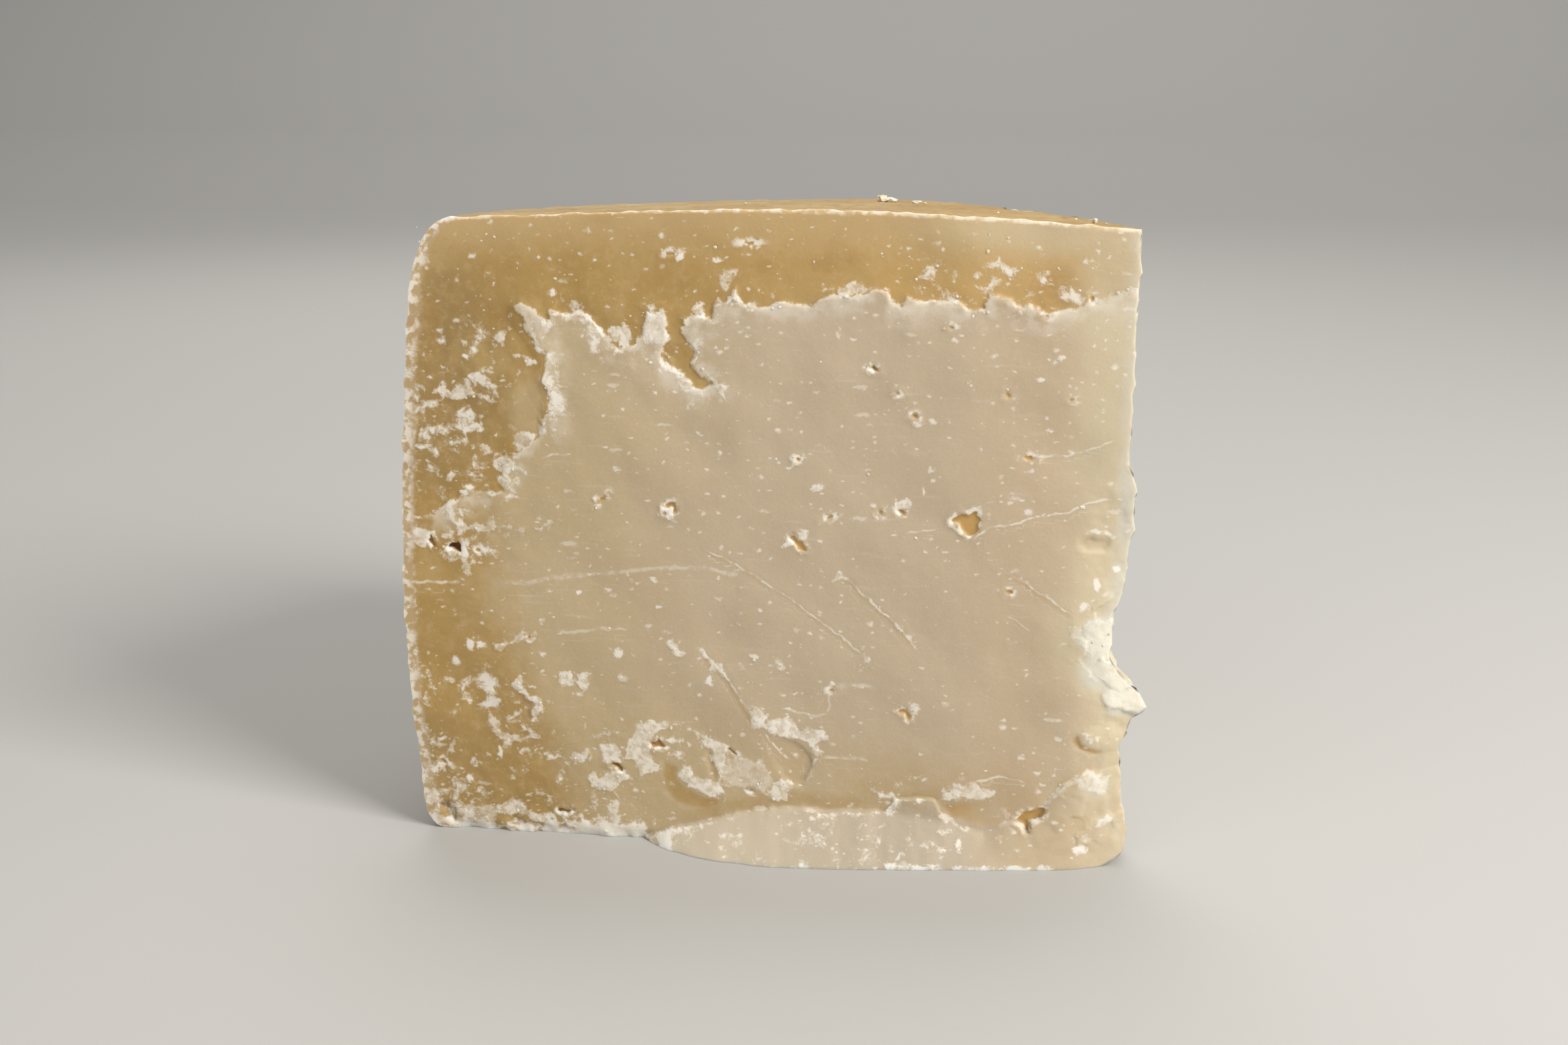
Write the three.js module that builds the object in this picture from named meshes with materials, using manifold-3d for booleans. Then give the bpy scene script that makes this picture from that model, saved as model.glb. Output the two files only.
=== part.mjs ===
// Pecorino chunk: a wedge cut from a small wheel, standing on the wheel's flat base.
// Millimetres, +Z up. The cut face looks along -Y, the rim is at -X and the broken tip at +X.
// The wedge is modelled about the wheel's axis, then moved so that its footprint is centred.
import * as THREE from 'three';
import { mergeVertices } from 'three/addons/utils/BufferGeometryUtils.js';
import Module from 'manifold-3d';

// The wheel
const CROWN_HEIGHT = 100;
const HUB_HEIGHT = 97.5;
const BASE_RADIUS = 108.5;
const FOOT = { radius: 112.3, height: 7 }; // where the rounded foot meets the rim
const BELLY = { radius: 115.2, height: 32 }; // control point, so the rim itself reaches 114
const FLANK = { radius: 113, height: 60 };
const NECK = { radius: 110.8, height: 84.5 };
const SHOULDER = { radius: 103.5, height: 98.4 };
const TOP_LEAN = 0.037; // the top falls this much for each millimetre behind the front cut
const CURVE_STEPS = 6;
const WHEEL_STEPS = 120;
const WHEEL_SPAN = 260; // clear of the whole wheel

// The wedge: the two cuts meet a little past the wheel's axis at the base, and short of it at the top
const WEDGE_ANGLE = THREE.MathUtils.degToRad(50);
const APEX_X = 4.5;
const REAR_LEAN = 0.047; // the second cut falls back this much for each millimetre of height
const CUTTER_DEPTH = 140;
const CUTTER_HEIGHT = [-3, 112];
const FRONT_CELL = 2.3;
const REAR_CELL = 4.5;
const TIP_CELL = 2.3;

// Relief of the cut faces
const PLATE_STEP = 0.9; // the pale inner paste stands proud of the amber zone under the rind
const PLATE_BLEND = 1.2;
const PLATE_FADE_RIM = [-112, -104]; // the step runs out towards the rim
const PLATE_FADE_TIP = [-16, -5]; // and towards the tip
const GRAIN_HEIGHT = 0.25;
const GRAIN_CELL = 7;
const TIP_ROUND = 3.2; // how far the lower face rolls back towards the broken tip
const TIP_ROUND_X = [-10, 4];
const TIP_ROUND_Z = [42, 66];
const AMBER_UNDER_TOP = 13; // on the second cut, measured in from the rind
const AMBER_UNDER_RIM = 18;
const AMBER_RAGGED = 2;

// Outline of the pale inner paste on the front face, as (x, z) from the base of the axis
const PASTE_OUTLINE = [
  [8, 88.5], [-9, 87.7], [-15.5, 85.3], [-20.3, 88], [-27, 86], [-33, 87.6], [-36.2, 86], [-40, 89],
  [-50, 86.6], [-60, 86.7], [-64.5, 84], [-68.5, 81], [-67, 78], [-65, 74], [-71.3, 78.5], [-70.5, 84.5],
  [-74.5, 82], [-78, 79.7], [-84, 84.6], [-88.5, 84.5], [-89.5, 83], [-93.5, 85], [-89.3, 77.5],
  [-89.7, 70], [-97, 61], [-98, 57], [-105, 54.5], [-125, 52], [-125, -10], [8, -10],
];

// The torn lip along the foot of the front face: reach in front of the cut, and height, along x
const LIP_REACH = [
  [-76, 0], [-72.5, 5.4], [-64, 6.7], [-55, 7.6], [-45, 6.9], [-30, 5.2], [-14, 3.1], [0, 0.6],
];
const LIP_TOP = [
  [-76, 0.8], [-72.5, 2.4], [-64, 5.6], [-55, 7.7], [-38, 8.5], [-35, 10.4], [-29, 10.4], [-24, 8], [0, 6],
];
const LIP_TOP_SHARE = 0.42; // of the reach that is left at the lip's upper edge
const LIP_BLEND = 2.4;

// Profile of the broken tip, as (z, x)
const TIP_EDGE = [
  [0, -3], [3, -0.5], [10, -1], [16, -1.5], [19, -2.3], [24, -0.4], [26, 1.5], [30, -0.5], [34, -4.2],
  [43, -3.3], [50, -2.3], [55, -1.3], [59.5, -1.2], [64, -2.7], [101, -2.5],
];
const TIP_GRAIN = 0.5;
const TIP_GRAIN_CELL = 3;
const KNIFE_HEIGHT = 64; // above this the tip is a clean cut

// Flake scars scooped out of the front face: centre, half sizes and depth
const SCOOPS = [
  { x: -53, z: 15.2, halfX: 5, halfZ: 5.2, depth: 1.5 },
  { x: -69.5, z: 10.5, halfX: 6.5, halfZ: 3.6, depth: 1.4 },
  { x: -101, z: 25, halfX: 6.5, halfZ: 5.5, depth: 0.9 },
  { x: -100, z: 53.5, halfX: 6, halfZ: 2.6, depth: 0.8 },
  { x: -21, z: 10, halfX: 7, halfZ: 3, depth: 1.4 },
];

// Curled flake edges that stand out of the front face: ends, half width and height
const CURLS = [
  { from: [-66.5, 32], to: [-58, 21], halfWidth: 1.8, height: 0.8 },
  { from: [-57.5, 20.4], to: [-48, 19], halfWidth: 1.8, height: 1.1 },
  { from: [-46, 45.5], to: [-33.5, 34.7], halfWidth: 1.6, height: 0.5 },
  { from: [-96, 26.5], to: [-93.8, 19.5], halfWidth: 1.6, height: 0.7 },
];

// Eyes wide enough to take a finger nail
const EYES = [
  { x: -25.5, z: 54.2, halfX: 2.7, halfZ: 2.3, depth: 3 },
  { x: -51, z: 50, halfX: 1.8, halfZ: 1.3, depth: 2 },
  { x: -71.3, z: 55.2, halfX: 1.5, halfZ: 1.2, depth: 1.8 },
  { x: -105.5, z: 47.6, halfX: 1.6, halfZ: 1.1, depth: 2.2 },
  { x: -15.3, z: 7.9, halfX: 2.4, halfZ: 1.1, depth: 3.4 },
];

const MERGE_GAP = 1e-4;
const wasm = await Module();
wasm.setup();

function lattice(column, row, seed) {
  const wave = Math.sin(column * 127.1 + row * 311.7 + seed * 74.7) * 43758.5453;
  return wave - Math.floor(wave);
}

// Smooth noise between -1 and 1
function grain(u, v, cell, seed) {
  const column = Math.floor(u / cell);
  const row = Math.floor(v / cell);
  const across = THREE.MathUtils.smoothstep(u / cell - column, 0, 1);
  const up = THREE.MathUtils.smoothstep(v / cell - row, 0, 1);
  const [low, high] = [row, row + 1].map((line) => (
    THREE.MathUtils.lerp(lattice(column, line, seed), lattice(column + 1, line, seed), across)
  ));
  return 2 * THREE.MathUtils.lerp(low, high, up) - 1;
}

// Value of a broken line of [position, value] pairs
function along(pairs, position) {
  const last = pairs.length - 1;
  if (position <= pairs[0][0]) return pairs[0][1];
  if (position >= pairs[last][0]) return pairs[last][1];
  const next = pairs.findIndex(([place]) => place > position);
  const [startPlace, startValue] = pairs[next - 1];
  const [endPlace, endValue] = pairs[next];
  return THREE.MathUtils.mapLinear(position, startPlace, endPlace, startValue, endValue);
}

function distanceToSegment(x, z, [x0, z0], [x1, z1]) {
  const runX = x1 - x0;
  const runZ = z1 - z0;
  const share = ((x - x0) * runX + (z - z0) * runZ) / (runX * runX + runZ * runZ);
  const held = THREE.MathUtils.clamp(share, 0, 1);
  return Math.hypot(x - x0 - held * runX, z - z0 - held * runZ);
}

// Signed distance to a closed outline, positive inside
function insideOutline(outline, x, z) {
  let nearest = Infinity;
  let inside = false;
  outline.forEach((corner, index) => {
    const next = outline[(index + 1) % outline.length];
    nearest = Math.min(nearest, distanceToSegment(x, z, corner, next));
    const spans = corner[1] > z !== next[1] > z;
    if (spans && x < THREE.MathUtils.mapLinear(z, corner[1], next[1], corner[0], next[0])) inside = !inside;
  });
  return inside ? nearest : -nearest;
}

// How far the front face stands in front of the cutting plane
function frontRelief(x, z) {
  const paste = THREE.MathUtils.smoothstep(insideOutline(PASTE_OUTLINE, x, z), -PLATE_BLEND, PLATE_BLEND);
  const rimFade = THREE.MathUtils.smoothstep(x, ...PLATE_FADE_RIM);
  const tipFade = 1 - THREE.MathUtils.smoothstep(x, ...PLATE_FADE_TIP);
  let height = PLATE_STEP * (paste - 1) * rimFade * tipFade + GRAIN_HEIGHT * grain(x, z, GRAIN_CELL, 1);
  for (const scoop of SCOOPS) {
    const offset = Math.hypot((x - scoop.x) / scoop.halfX, (z - scoop.z) / scoop.halfZ);
    height -= scoop.depth * (1 - THREE.MathUtils.smoothstep(offset, 0.5, 1.1));
  }
  for (const curl of CURLS) {
    const gap = distanceToSegment(x, z, curl.from, curl.to);
    height += curl.height * (1 - THREE.MathUtils.smoothstep(gap, 0, curl.halfWidth));
  }
  const tipShare = THREE.MathUtils.smoothstep(x, ...TIP_ROUND_X);
  const lowerShare = 1 - THREE.MathUtils.smoothstep(z, ...TIP_ROUND_Z);
  height -= TIP_ROUND * tipShare * lowerShare;
  const lipTop = along(LIP_TOP, x);
  const lipShare = 1 - THREE.MathUtils.smoothstep(z, lipTop, lipTop + LIP_BLEND);
  const rise = THREE.MathUtils.clamp(z / lipTop, 0, 1);
  const lip = along(LIP_REACH, x) * THREE.MathUtils.lerp(1, LIP_TOP_SHARE, rise);
  return height + lip * lipShare;
}

// How far the second cut stands out, from the distance along it and the height
function rearRelief(out, z) {
  const underTop = HUB_HEIGHT - AMBER_UNDER_TOP - z;
  const underRim = FLANK.radius - AMBER_UNDER_RIM - out;
  const inside = Math.min(underTop, underRim) + AMBER_RAGGED * grain(out, z, GRAIN_CELL, 5);
  const paste = THREE.MathUtils.smoothstep(inside, -PLATE_BLEND, PLATE_BLEND);
  const tipFade = 1 - THREE.MathUtils.smoothstep(-out, ...PLATE_FADE_TIP);
  const swell = 2 * GRAIN_HEIGHT * grain(out, z, 2 * GRAIN_CELL, 7);
  return (PLATE_STEP * (paste - 1) + swell) * tipFade - REAR_LEAN * z;
}

function tipRelief(depth, z) {
  const share = z < KNIFE_HEIGHT ? 1 : 0.3;
  return along(TIP_EDGE, z) + share * TIP_GRAIN * grain(depth, z, TIP_GRAIN_CELL, 11);
}

// Closed geometry to a solid, with shared corners merged and collapsed triangles dropped
function toSolid(geometry) {
  geometry.deleteAttribute('normal');
  geometry.deleteAttribute('uv');
  const merged = mergeVertices(geometry, MERGE_GAP);
  const corners = merged.index.array;
  const kept = [];
  for (let at = 0; at < corners.length; at += 3) {
    const [a, b, c] = corners.slice(at, at + 3);
    if (a !== b && b !== c && c !== a) kept.push(a, b, c);
  }
  const vertProperties = new Float32Array(merged.attributes.position.array);
  return new wasm.Manifold(new wasm.Mesh({ numProp: 3, vertProperties, triVerts: new Uint32Array(kept) }));
}

function wheelSolid() {
  const side = new THREE.Path();
  side.moveTo(0, 0);
  side.lineTo(BASE_RADIUS, 0);
  side.quadraticCurveTo(FOOT.radius, 0, FOOT.radius, FOOT.height);
  side.quadraticCurveTo(BELLY.radius, BELLY.height, FLANK.radius, FLANK.height);
  side.lineTo(NECK.radius, NECK.height);
  side.quadraticCurveTo(NECK.radius - 1.3, SHOULDER.height - 0.9, SHOULDER.radius, SHOULDER.height);
  const crownControl = 2 * CROWN_HEIGHT - (SHOULDER.height + HUB_HEIGHT) / 2;
  side.quadraticCurveTo(SHOULDER.radius / 2, crownControl, 0, HUB_HEIGHT);
  const wheel = new THREE.LatheGeometry(side.getPoints(CURVE_STEPS), WHEEL_STEPS);
  wheel.rotateX(Math.PI / 2);
  const places = wheel.attributes.position;
  for (let at = 0; at < places.count; at += 1) {
    const z = places.getZ(at);
    places.setZ(at, z - TOP_LEAN * places.getY(at) * (z / CROWN_HEIGHT));
  }
  return toSolid(wheel);
}

// A block whose face at y = 0 is pushed along y by relief(x, z): it cuts away what lies in front of that
function cutterGeometry(fromX, toX, cell, relief) {
  const [fromZ, toZ] = CUTTER_HEIGHT;
  const columns = Math.round((toX - fromX) / cell);
  const rows = Math.round((toZ - fromZ) / cell);
  const block = new THREE.BoxGeometry(toX - fromX, CUTTER_DEPTH, toZ - fromZ, columns, 1, rows);
  block.translate((fromX + toX) / 2, -CUTTER_DEPTH / 2, (fromZ + toZ) / 2);
  const places = block.attributes.position;
  for (let at = 0; at < places.count; at += 1) {
    if (places.getY(at) > -MERGE_GAP) places.setY(at, relief(places.getX(at), places.getZ(at)));
  }
  return block;
}

function eyeSolid(eye) {
  const hollow = new THREE.IcosahedronGeometry(1, 1);
  hollow.scale(eye.halfX, eye.depth, eye.halfZ);
  hollow.translate(eye.x, -frontRelief(eye.x, eye.z), eye.z);
  return toSolid(hollow);
}

function chunkSolid() {
  const front = cutterGeometry(-124, 16, FRONT_CELL, (x, z) => -frontRelief(x, z));
  const rear = cutterGeometry(-20, 130, REAR_CELL, (out, z) => -rearRelief(out, z));
  rear.rotateZ(Math.PI - WEDGE_ANGLE);
  rear.translate(APEX_X, 0, 0);
  const tip = cutterGeometry(-20, 30, TIP_CELL, (depth, z) => -tipRelief(depth, z));
  tip.rotateZ(Math.PI / 2);
  const farSide = new THREE.BoxGeometry(WHEEL_SPAN, WHEEL_SPAN, WHEEL_SPAN);
  farSide.translate(WHEEL_SPAN / 2 + APEX_X + 2, 0, 0);
  let chunk = wheelSolid();
  for (const cutter of [farSide, front, rear, tip]) chunk = chunk.subtract(toSolid(cutter));
  for (const eye of EYES) chunk = chunk.subtract(eyeSolid(eye));
  return chunk;
}

function solidGeometry(solid) {
  const mesh = solid.getMesh();
  const geometry = new THREE.BufferGeometry();
  geometry.setAttribute('position', new THREE.BufferAttribute(mesh.vertProperties, 3));
  geometry.setIndex(new THREE.BufferAttribute(mesh.triVerts, 1));
  return geometry;
}

const paste = new THREE.MeshStandardMaterial({ color: 0xcdb98f, roughness: 0.55, metalness: 0 });
const geometry = solidGeometry(chunkSolid());
geometry.computeVertexNormals();
geometry.computeBoundingBox();
const middle = geometry.boundingBox.getCenter(new THREE.Vector3());
geometry.translate(-middle.x, -middle.y, -geometry.boundingBox.min.z);

const chunk = new THREE.Mesh(geometry, paste);
chunk.name = 'chunk';
const pecorino = new THREE.Group();
pecorino.add(chunk);

export default pecorino;
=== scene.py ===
import math
import random

import bmesh
import bpy
import numpy as np
from mathutils import Euler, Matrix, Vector


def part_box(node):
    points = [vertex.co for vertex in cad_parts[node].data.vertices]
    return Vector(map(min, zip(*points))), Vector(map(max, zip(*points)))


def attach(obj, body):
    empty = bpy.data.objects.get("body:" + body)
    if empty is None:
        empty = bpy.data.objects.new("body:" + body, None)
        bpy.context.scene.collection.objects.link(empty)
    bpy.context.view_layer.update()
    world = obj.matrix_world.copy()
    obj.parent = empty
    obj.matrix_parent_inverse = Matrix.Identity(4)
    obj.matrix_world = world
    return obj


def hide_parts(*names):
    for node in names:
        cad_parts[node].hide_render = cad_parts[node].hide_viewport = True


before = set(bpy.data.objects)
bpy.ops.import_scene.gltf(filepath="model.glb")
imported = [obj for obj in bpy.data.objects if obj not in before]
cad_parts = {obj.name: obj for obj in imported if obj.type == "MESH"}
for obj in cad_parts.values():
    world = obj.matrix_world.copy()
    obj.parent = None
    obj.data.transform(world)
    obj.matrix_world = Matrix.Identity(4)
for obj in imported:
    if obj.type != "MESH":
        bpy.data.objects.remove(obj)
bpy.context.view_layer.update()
mm = 0.001
tiny = 1e-6  # closer than this counts as touching
farAway = 1e9
farGap = 5.0  # stands for no eye or scar nearby, in millimetres
noFilm = -3.0  # stands for no white patch nearby

# The cut frame, in millimetres from the foot of the wheel's axis:
# x along the front cut, y into the cheese, z up
cutFrame = {
    "rimReach": 113.92,  # from the axis to the rim's belly
    "lipReach": 7.24,  # from the front cut to the lip's edge
}
lowCorner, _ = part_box("chunk")
cutOrigin = np.array([
    lowCorner.x / mm + cutFrame["rimReach"],
    lowCorner.y / mm + cutFrame["lipReach"],
    lowCorner.z / mm,
])


def toFrame(places):
    return (np.asarray(places, float) + cutOrigin) * mm


# Small number tools that work on whole arrays
def blend(value, start, end):
    share = np.clip((value - start) / (end - start), 0, 1)
    return share * share * (3 - 2 * share)


def lattice(column, row, seed):  # a fixed number from 0 to 1 for each corner of a grid
    wave = np.sin(column * 127.1 + row * 311.7 + seed * 74.7) * 43758.5453
    return wave - np.floor(wave)


def grain(u, v, cell, seed):  # smooth noise from -1 to 1
    turn = seed * 0.7
    a = (u * math.cos(turn) - v * math.sin(turn)) / cell
    b = (u * math.sin(turn) + v * math.cos(turn)) / cell
    column, row = np.floor(a), np.floor(b)
    f, g = blend(a - column, 0, 1), blend(b - row, 0, 1)
    lower = lattice(column, row, seed) * (1 - f) + lattice(column + 1, row, seed) * f
    upper = lattice(column, row + 1, seed) * (1 - f) + lattice(column + 1, row + 1, seed) * f
    return 2 * (lower * (1 - g) + upper * g) - 1


def crumble(u, v, cell, seed, layers=4, fade=0.55):  # layered noise, about -1 to 1
    total, share = 0, fade
    for layer in range(layers):
        total = total + share * grain(u, v, cell / 2 ** layer, seed + layer)
        share *= fade
    return total


def facets(u, v, cell, seed, slope=1.6):  # broken planes, each with its own height and tilt
    a, b = u / cell, v / cell
    column, row = np.floor(a), np.floor(b)
    near = np.full(np.shape(a), farAway)
    level = np.zeros(np.shape(a))
    for i in (-1, 0, 1):
        for j in (-1, 0, 1):
            c, r = column + i, row + j
            du = a - c - lattice(c, r, seed)
            dv = b - r - lattice(c, r, seed + 1)
            gap = du * du + dv * dv
            tilt = (lattice(c, r, seed + 2) - 0.5) * du + (lattice(c, r, seed + 3) - 0.5) * dv
            level = np.where(gap < near, lattice(c, r, seed + 4) - 0.5 + slope * tilt, level)
            near = np.minimum(near, gap)
    return level


def segmentGap(x, z, start, end):  # distance, share along it and side
    runX, runZ = end[0] - start[0], end[1] - start[1]
    fromX, fromZ = x - start[0], z - start[1]
    share = np.clip((fromX * runX + fromZ * runZ) / (runX * runX + runZ * runZ), 0, 1)
    gap = np.hypot(fromX - share * runX, fromZ - share * runZ)
    return gap, share, np.sign(runX * fromZ - runZ * fromX)


def pathGap(path, x, z):  # distance, share along the whole path and side of the nearest stretch
    near = np.full(np.shape(x), farAway)
    share, side = np.zeros(np.shape(x)), np.zeros(np.shape(x))
    for index, (start, end) in enumerate(zip(path, path[1:])):
        gap, part, hand = segmentGap(x, z, start, end)
        share = np.where(gap < near, (index + part) / (len(path) - 1), share)
        side = np.where(gap < near, hand, side)
        near = np.minimum(near, gap)
    return near, share, side


def outlineGap(outline, x, z, margin=4.0):  # signed distance to a closed outline, positive inside
    low, high = np.min(outline, axis=0) - margin, np.max(outline, axis=0) + margin
    close = (x > low[0]) & (x < high[0]) & (z > low[1]) & (z < high[1])
    result = np.full(np.shape(x), -margin)
    x, z = x[close], z[close]
    near = np.full(np.shape(x), farAway)
    inside = np.zeros(np.shape(x), bool)
    for start, end in zip(outline, outline[1:] + outline[:1]):
        near = np.minimum(near, segmentGap(x, z, start, end)[0])
        spans = (start[1] > z) != (end[1] > z)
        rise = (end[1] - start[1]) or tiny
        inside ^= spans & (x < start[0] + (z - start[1]) * (end[0] - start[0]) / rise)
    result[close] = np.where(inside, near, -near)
    return result


def along(pairs, places):
    return np.interp(places, [p for p, _ in pairs], [v for _, v in pairs])


# The wheel that the wedge was cut from
wheel = {
    "base": 108.5, "foot": (112.3, 7.0), "belly": (115.2, 32.0), "flank": (113.0, 60.0),
    "neck": (110.8, 84.5), "shoulder": (103.5, 98.4), "shoulderPull": (1.3, 0.9),
    "hub": 97.5, "crown": 100.0,
    "topLean": 0.037,  # the top falls back this much per millimetre
    "angle": math.radians(50), "apex": 4.5, "rearLean": 0.047,
}


def arcPoints(start, control, end, steps=24):
    t = np.linspace(0, 1, steps)[:, None]
    return (1 - t) ** 2 * np.array(start) + 2 * t * (1 - t) * np.array(control) + t ** 2 * np.array(end)


def rimCurve():  # the rim's profile as radius and height, against the share of its length
    pullX, pullZ = wheel["shoulderPull"]
    bendPoint = (wheel["neck"][0] - pullX, wheel["shoulder"][1] - pullZ)
    points = np.vstack([
        arcPoints((wheel["base"], 0), (wheel["foot"][0], 0), wheel["foot"]),
        arcPoints(wheel["foot"], wheel["belly"], wheel["flank"]),
        np.array([wheel["neck"]]),
        arcPoints(wheel["neck"], bendPoint, wheel["shoulder"]),
    ])
    steps = np.hypot(*np.diff(points, axis=0).T)
    share = np.concatenate([[0], np.cumsum(steps)]) / steps.sum()
    return share, points[:, 0], points[:, 1]


def crownHeight(radius):
    t = 1 - np.clip(radius / wheel["shoulder"][0], 0, 1)
    control = 2 * wheel["crown"] - (wheel["shoulder"][1] + wheel["hub"]) / 2
    return (1 - t) ** 2 * wheel["shoulder"][1] + 2 * t * (1 - t) * control + t ** 2 * wheel["hub"]


def topHeight(radius, y):
    return crownHeight(radius) - wheel["topLean"] * y


def rearApex(z):  # where the second cut meets the front cut
    return wheel["apex"] - wheel["rearLean"] * z / math.sin(wheel["angle"])


# Front cut: what shows on the face, as (x, z) in the cut frame
face = {
    "plateStep": 0.3,  # the pale paste stands this proud of the amber zone
    "plateOutline": [
        (8, 89.6), (-3.5, 89.2), (-8, 88), (-12, 86.6), (-15.3, 85.3), (-19.5, 86.6), (-20.3, 88.2),
        (-23.5, 88.4), (-24.5, 86.6), (-26.5, 86.2), (-31, 87.3), (-35.3, 87.4), (-36.2, 85.9),
        (-37.5, 86.6), (-38.5, 88.3), (-40.3, 88.9), (-44.5, 88), (-50, 86.6), (-60, 86.4), (-60.3, 88.7),
        (-61.3, 87), (-64, 85.7), (-64.5, 83.9), (-66, 84.6), (-67.8, 83.6), (-68.6, 81.5), (-67, 79.2),
        (-67.4, 77.2), (-66.2, 75.4), (-64.2, 74.2), (-66.5, 73.8), (-69.5, 75.6), (-71.6, 78.2),
        (-70.3, 80.9), (-71.2, 82.5), (-70.8, 85), (-73.3, 84.8), (-74.6, 82.4), (-74.3, 81.1),
        (-78.3, 79.3), (-81.2, 82.2), (-84.2, 84.8), (-88.6, 84.8), (-89.2, 82.9), (-91.2, 85), (-93.6, 85),
        (-92.6, 81.8), (-90.7, 79), (-89.2, 78.1), (-90.2, 75.2), (-89.8, 70.3), (-90.6, 66), (-94.5, 63.5),
        (-97.3, 60.3), (-97.6, 56.8), (-102.5, 57), (-106.2, 53.6), (-125, 51), (-125, -10), (8, -10),
    ],
    "lipReach": [
        (-75.4, 0), (-75, 1.4), (-72, 3.1), (-68.7, 4.7), (-64, 6.2), (-58, 7.1), (-55, 7.3), (-45, 6.8),
        (-30, 5.2), (-14, 3.1), (0, 0.6),
    ],
    "lipTop": [
        (-75.5, 0.9), (-74, 1.7), (-71.9, 2.4), (-69.9, 3), (-67.4, 3.7), (-64.9, 4.5), (-62.6, 5.3),
        (-60.4, 5.8), (-57.9, 6.2), (-55.6, 6.8), (-53.1, 7.1), (-50.3, 7.35), (-47.8, 7.1), (-45.3, 6.85),
        (-43.6, 7.1), (-37.6, 7.4), (-36.7, 8.4), (-36, 9.4), (-33.1, 9.9), (-29.8, 9.7), (-29.2, 8.3),
        (-28.6, 7.2), (-27.3, 6.5), (-25, 5.8), (-22.4, 5.3), (-21, 5.3), (-19.9, 5.7), (-19, 6.2),
        (-17.6, 6.6), (-16.4, 6.2), (-15.8, 5.5), (-15.2, 5.6), (-14.8, 6.8), (-13.6, 7.5), (-12.9, 8.8),
        (-12.5, 9.8), (-12, 11), (-10.7, 12.3), (-10, 13.3), (-8.4, 14), (-7.4, 15), (-6.6, 15.5),
        (-4, 15.7), (-1, 16.4), (4, 17.5),
    ],
    "lipShoulder": [
        (-75.5, 0.9), (-72, 2.4), (-64.9, 4.5), (-55.6, 6.8), (-50.3, 7.3), (-43.6, 7.1), (-36, 7),
        (-28, 6.2), (-22, 4.8), (-18, 6.4), (-15, 7.4), (-12.4, 10), (-8, 14), (-4, 15.8), (4, 17.5),
    ],
    "lipTopShare": 0.12,
    # against the height: the tip's edge, the left amber's edge, the width of the tip's painted glow and its
    # pale edge band, which is partly paler paste and partly painted glow
    "tipEdge": [
        (0, -4.2), (0.6, -2.2), (1.3, -1.1), (2.2, -0.4), (4.8, -0.2), (6.2, -0.3), (7.6, -0.7),
        (8.7, -0.9), (9.7, -1.2), (12.7, -1.4), (13.6, -1.3), (14.2, -1.5), (16.6, -1.5), (17.8, -1.8),
        (18.2, -2.2), (18.6, -2.4), (19.3, -2.1), (20.3, -1.6), (21, -1.2), (21.3, -0.6), (21.8, -0.8),
        (22.3, -1.1), (23.1, -0.9), (23.7, -0.6), (24, 0.1), (24.6, 0.5), (25, 1.3), (25.7, 1.9),
        (26.3, 1.6), (27.3, 1), (28.3, 0.5), (29.2, 0), (29.5, -0.7), (30.1, -1.5), (30.6, -2.4),
        (31, -2.9), (32.5, -3.1), (33, -3.8), (33.6, -4.1), (35.3, -3.8), (37.8, -3.9), (38, -3.4),
        (39, -3.7), (40.8, -3.6), (43, -3.1), (45, -2.4), (50.4, -2.3), (55, -1.3), (58.4, -1.9),
        (59.4, -1.2), (61, -1.7), (64, -2.7), (101, -2.5),
    ],
    "amberEdge": [(0, -84), (7, -85), (14, -88), (26, -93), (37, -98), (45, -97), (56, -99), (62, -104)],
    "glowReach": [(0, 12), (20, 10), (30, 9), (45, 8), (60, 7), (100, 6)],
    "paleEdgeGlow": [
        (0, 0.0), (14, 0.1), (22, 0.2), (27, 0.6), (38, 0.6), (46, 0.35), (56, 0.4), (62, 0.25), (100, 0.2),
    ],
    "tipRound": 2.6,
    "tipBlobs": [  # whiter parts of the tip, paler paste with painted highlights where facets face the light: x, z, half width, half height, amount
        (-6.0, 36.8, 3.2, 3.2, 1.6), (-3.8, 35.6, 3.4, 4.6, 1.8), (-1.0, 27.6, 3.8, 3.4, 2.0),
        (-4.8, 31.4, 4.6, 3.4, 1.2), (-3.2, 44.6, 2.2, 4.0, 0.3), (-2.4, 54.6, 2.0, 3.4, 0.5),
        (-2.6, 60.4, 2.4, 1.8, 0.5), (-5.6, 13.0, 3.2, 2.6, 1.1), (-3.6, 7.4, 2.2, 1.1, 1.0),
        (-17.6, 5.6, 2.2, 1.3, 0.7), (-9.4, 10.4, 3.6, 2.6, 0.9), (-4.6, 21.2, 3.4, 1.8, 0.4),
        (-1.4, 5.4, 0.8, 2.6, 0.8), (-2.6, 17.6, 2.2, 3.0, 0.3),
    ],
    "mostPale": 3,
}
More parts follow.
